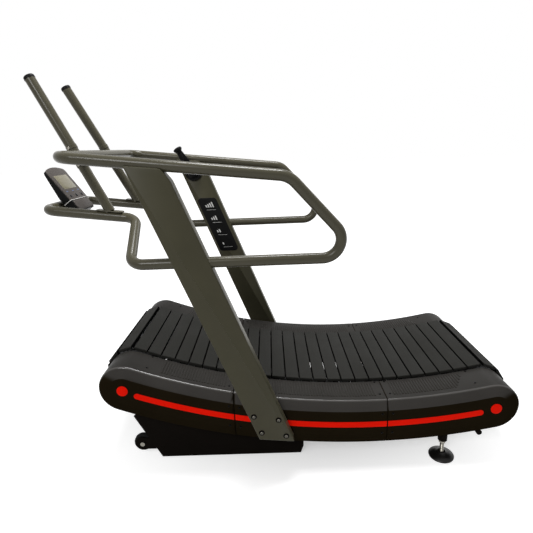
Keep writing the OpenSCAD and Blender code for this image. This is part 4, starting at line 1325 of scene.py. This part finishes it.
for side in (-1, 1):
    push_way = Vector((
        -math.sin(push_lean) * math.cos(push_in),
        -side * math.sin(push_in),
        math.cos(push_lean) * math.cos(push_in),
    ))
    push_foot = Vector((push_foot_x, side * loop_y, push_foot_z))
    push_top = push_foot + push_way * push_length
    push_pieces.append(bent_tube("push_tube", [push_foot, push_top], []))
    screw_way = Vector((-math.cos(push_lean), 0.0, -math.sin(push_lean))) * math.sin(collar_screw_turn)
    screw_way.y = side * math.cos(collar_screw_turn)
    screw_turn = screw_way.to_track_quat("Z", "Y").to_matrix().to_4x4()
    for step in (-collar_step, collar_step):
        collar_place = push_foot + push_way * (push_length * cross_share + step)
        collar = turned_piece("collar", collar_section, collar_place, push_way, tube_paint_lit_copy, collar_sides)
        collar_bolt = button_head("collar_screw", collar_screw, collar_screw_high, zinc_steel)
        screw_place = collar_place + screw_way * (tube_radius + collar_proud)
        collar_bolt.matrix_world = Matrix.Translation(screw_place) @ screw_turn
        push_pieces += [collar, collar_bolt]
    plate_middle = push_foot + plate_up * push_plate_thick / 2
    plate_corners = [
        plate_middle - plate_end - plate_side,
        plate_middle + plate_end - plate_side,
        plate_middle + plate_end + plate_side,
        plate_middle - plate_end + plate_side,
    ]
    plate_outline = rounded(plate_corners, push_plate_corner, 4)
    plate_step = plate_up * push_plate_thick
    push_pieces.append(plate("push_plate", plate_outline, plate_step, push_plate_round, tube_paint_lit_copy, 2))
    push_caps.append(turned_piece("push_cap", push_cap_section, push_top, push_way, black_plastic))
shown(joined("welded_push_bars", push_pieces), node_name="push_bars")
shown(joined("push_bar_end_caps", push_caps), node_name="push_bar_caps")

# Resistance lever
# A black hub disc is bolted to the inner face of the right upright, and the lever turns on its pin. The
# arm and the hub are moulded nylon, and the mushroom knob is screwed on the arm's end.
hub_place = places["lever_turn"]
hub_radius = 0.043
hub_high = 0.014
lever_length = 0.112
lever_angle = math.radians(30.5)
lever_gap = 0.0003
lever_thick = 0.014
lever_root = 0.0245
lever_tip = 0.014
arm_start = 0.012
arm_over = 0.002
arm_corner = 0.002
arm_thick = 0.01
arm_round = 0.003
pin_radius = 0.008
pin_high = hub_high + lever_thick + 0.006
boss_bore = 0.0081
boss_radius = 0.026
knob_radius = 0.022
knob_high = 0.026

# The hub from the top of its pin over a groove to its rim, and the boss from its bore round to it again
hub_section = [
    (0.0, pin_high),
    (pin_radius - 0.0015, pin_high),
    (pin_radius, pin_high - 0.0015),
    (pin_radius, hub_high),
    (0.03, hub_high),
    (0.031, hub_high - 0.0015),
    (0.0345, hub_high - 0.0015),
    (0.0355, hub_high),
    (hub_radius - 0.004, hub_high),
    (hub_radius - 0.0012, hub_high - 0.0012),
    (hub_radius, hub_high - 0.004),
    (hub_radius, 0.0),
    (0.0, 0.0),
]
boss_section = [
    (boss_bore, 0.0),
    (boss_radius - 0.0015, 0.0),
    (boss_radius, 0.0015),
    (boss_radius, lever_thick - 0.004),
    (boss_radius - 0.0025, lever_thick - 0.001),
    (boss_radius - 0.005, lever_thick),
    (boss_bore, lever_thick),
    (boss_bore, 0.0),
]

# The knob from its top to its neck, as shares of its radius and height
knob_profile = (
    (0.0, 1.0), (0.42, 0.98), (0.71, 0.93), (0.91, 0.83), (1.0, 0.67), (0.99, 0.52),
    (0.88, 0.37), (0.7, 0.2), (0.6, 0.06), (0.58, 0.0), (0.0, 0.0),
)
inward = Vector((0.0, -1.0, 0.0))
hub_base = Vector((hub_place.x, upright_in, hub_place.z))
lever_base = hub_base + inward * (hub_high + lever_gap)
lever_way = Vector((-math.sin(lever_angle), 0.0, math.cos(lever_angle)))
lever_side = Vector((math.cos(lever_angle), 0.0, math.sin(lever_angle)))
hub_disc = turned_piece("lever_hub_disc", hub_section, hub_base, inward, black_plastic)
shown(hub_disc, node_name="lever_hub")

lever_boss = turned_piece("lever_boss", boss_section, lever_base, inward, black_plastic)
arm_middle = lever_base + inward * lever_thick / 2
arm_foot = arm_middle + lever_way * arm_start
arm_head = arm_middle + lever_way * (lever_length + arm_over)
arm_corners = [
    arm_foot - lever_side * lever_root,
    arm_foot + lever_side * lever_root,
    arm_head + lever_side * lever_tip,
    arm_head - lever_side * lever_tip,
]
arm_outline = rounded(arm_corners, arm_corner, 4)
lever_arm = plate("lever_arm", arm_outline, inward * arm_thick, arm_round, black_plastic)
shown(joined("lever_arm", [lever_arm, lever_boss]), "lever", "resistance_lever")

knob_place = arm_middle + lever_way * lever_length
knob_section = scaled(knob_profile, knob_radius, knob_high)
knob = turned_piece("mushroom_knob", knob_section, knob_place, lever_way, black_plastic)
shown(knob, "lever", "lever_knob")

# Console
# A small display head on a clamp housing that is screwed to the front loop. The case is black plastic
# with an arched face plate in brown-grey, a screen, a silver trim line below and three buttons.
console_lean = math.radians(34.9)
console_place = Vector((deck_centre.x - 1.128, 0.0, 1.032))
console_foot = 0.04
console_top = 0.198
console_half = 0.08
console_thin = 0.012
console_thick = 0.036
console_shoulder = 0.07
console_arch = 0.24
console_corner = 0.016
console_foot_corner = 0.004
bracket_edge = 0.003
arch_steps = 6
face_thick = 0.0045
face_round = 0.0018
case_inset = 0.0018
case_round = 0.0015
case_sharp = math.radians(40)
screen_half = 0.056
screen_low = 0.091
screen_high = 0.066
screen_corner = 0.002
screen_sunk = 0.0006
screen_thick = 0.0024
screen_round = 0.0005
button_places = (("left", -0.05), ("middle", 0.0), ("right", 0.05))
button_low = 0.057
button_radius = 0.008
button_proud = 0.002
button_deep = 0.005
button_sides = 32
mark_low = 0.077
mark_half = 0.008
mark_high = 0.0045
mark_corner = 0.001
mark_thick = 0.0006
mark_round = 0.0001
trim_thick = 0.003
trim_proud = 0.0005
trim_corner = 0.003
trim_round = 0.0006
clamp_half = 0.07
clamp_low = -0.01
clamp_high = 0.036
clamp_corner = 0.012
clamp_sunk = 0.001
clamp_thick = 0.004
button_section = [
    (0.0, button_proud),
    (button_radius * 0.62, button_proud * 0.95),
    (button_radius * 0.88, button_proud * 0.65),
    (button_radius, button_proud * 0.1),
    (button_radius, -button_deep),
    (0.0, -button_deep),
]
console_out = Vector((math.cos(console_lean), 0.0, math.sin(console_lean)))
console_up = Vector((-math.sin(console_lean), 0.0, math.cos(console_lean)))
bezel_tones = ((0.055, 0.0472, 0.0425), (0.073, 0.0636, 0.0573))
silver_tones = ((0.42, 0.41, 0.39), (0.55, 0.54, 0.51))
glass_tones = ((0.185, 0.17, 0.12), (0.225, 0.208, 0.15))
mark_tones = ((0.08, 0.11, 0.19), (0.12, 0.15, 0.25))
button_tones = ((0.004, 0.004, 0.005), (0.008, 0.008, 0.01))
bezel_plastic = moulded(
    "bezel_plastic", bezel_tones, gloss=(0.35, 0.5), cells=1500.0, depth=0.00003, specular=0.12
)
silver_trim = moulded(
    "silver_trim", silver_tones, gloss=(0.25, 0.35), cells=2500.0, depth=0.00001, specular=0.4
)
screen_glass = moulded(
    "screen_glass", glass_tones, gloss=(0.1, 0.18), cells=2600.0, depth=0.000005, specular=0.2
)
blue_print = moulded(
    "blue_print", mark_tones, gloss=(0.4, 0.6), cells=1500.0, depth=0.00001, specular=0.2
)
button_plastic = moulded(
    "button_plastic", button_tones, gloss=(0.22, 0.34), cells=2000.0, depth=0.00002, specular=0.12
)


def on_console(out, across, up):
    """A point in the frame of the console's face."""
    return console_place + console_out * out + Vector((0.0, across, 0.0)) + console_up * up


def face_outline(middle, half, low, high, radius, out):
    """A rounded rectangle on the console's face."""
    left = middle - half
    right = middle + half
    corners = ((left, low), (right, low), (right, high), (left, high))
    return rounded([on_console(out, across, up) for across, up in corners], radius)


def arched_outline(inset, out):
    """The outline of the face, with its arched top, or of a line inset inside it."""
    half = console_half - inset
    arch = console_arch - inset
    middle = console_top - console_arch
    reach = math.asin(half / arch)
    corners = [on_console(out, -half, console_foot + inset), on_console(out, half, console_foot + inset)]
    for step in range(arch_steps + 1):
        turn = reach * (1 - 2 * step / arch_steps)
        corners.append(on_console(out, arch * math.sin(turn), middle + arch * math.cos(turn)))
    arch_radii = [console_corner] + [0.0] * (arch_steps - 1) + [console_corner]
    return softened(corners, [console_foot_corner] * 2 + arch_radii, 6, closed=True)


case = filled("display_case", arched_outline(case_inset, -face_thick))
draw_out(console_out * (face_thick - console_thick))
bpy.ops.mesh.select_all(action="SELECT")
bpy.ops.mesh.bisect(
    plane_co=on_console(-console_thin, 0.0, console_top),
    plane_no=console_out * (console_top - console_shoulder) + console_up * (console_thin - console_thick),
    use_fill=True,
    clear_inner=True,
)
bpy.ops.mesh.select_all(action="DESELECT")
bpy.ops.mesh.edges_select_sharp(sharpness=case_sharp)
round_edges(case_round)
shown(end_piece(case, black_plastic), node_name="console_case")

face_line = arched_outline(0.0, -face_thick / 2)
face = plate("display_face", face_line, console_out * face_thick, face_round, bezel_plastic)
shown(face)

screen_line = face_outline(
    0.0, screen_half, screen_low, screen_low + screen_high, screen_corner, -screen_sunk
)
screen = plate("display_screen", screen_line, console_out * screen_thick, screen_round, screen_glass, 2)
shown(screen, node_name="console_screen")

button_marks = []
for button_name, button_y in button_places:
    button_place = on_console(0.0, button_y, button_low)
    button = turned_piece(
        "push_button_" + button_name, button_section, button_place, console_out, button_plastic, button_sides
    )
    shown(button, "button_" + button_name, "console_button_" + button_name)
    mark_line = face_outline(button_y, mark_half, mark_low, mark_low + mark_high, mark_corner, 0.0)
    button_marks.append(plate("button_mark", mark_line, console_out * mark_thick, mark_round, blue_print, 1))
shown(joined("button_marks", button_marks))

trim_corners = [
    on_console(trim_proud, -console_half, console_foot),
    on_console(trim_proud, console_half, console_foot),
    on_console(-console_thick, console_half, console_foot),
    on_console(-console_thick, -console_half, console_foot),
]
trim_line = rounded(trim_corners, trim_corner, 4)
trim = plate("console_trim", trim_line, console_up * trim_thick, trim_round, silver_trim, 2)
shown(trim)
clamp_line = face_outline(0.0, clamp_half, clamp_low, clamp_high, clamp_corner, -clamp_sunk)
clamp_face = plate("clamp_face", clamp_line, console_out * clamp_thick, face_round, bezel_plastic)
shown(clamp_face)
dress(("console_bracket",), black_plastic, bracket_edge)
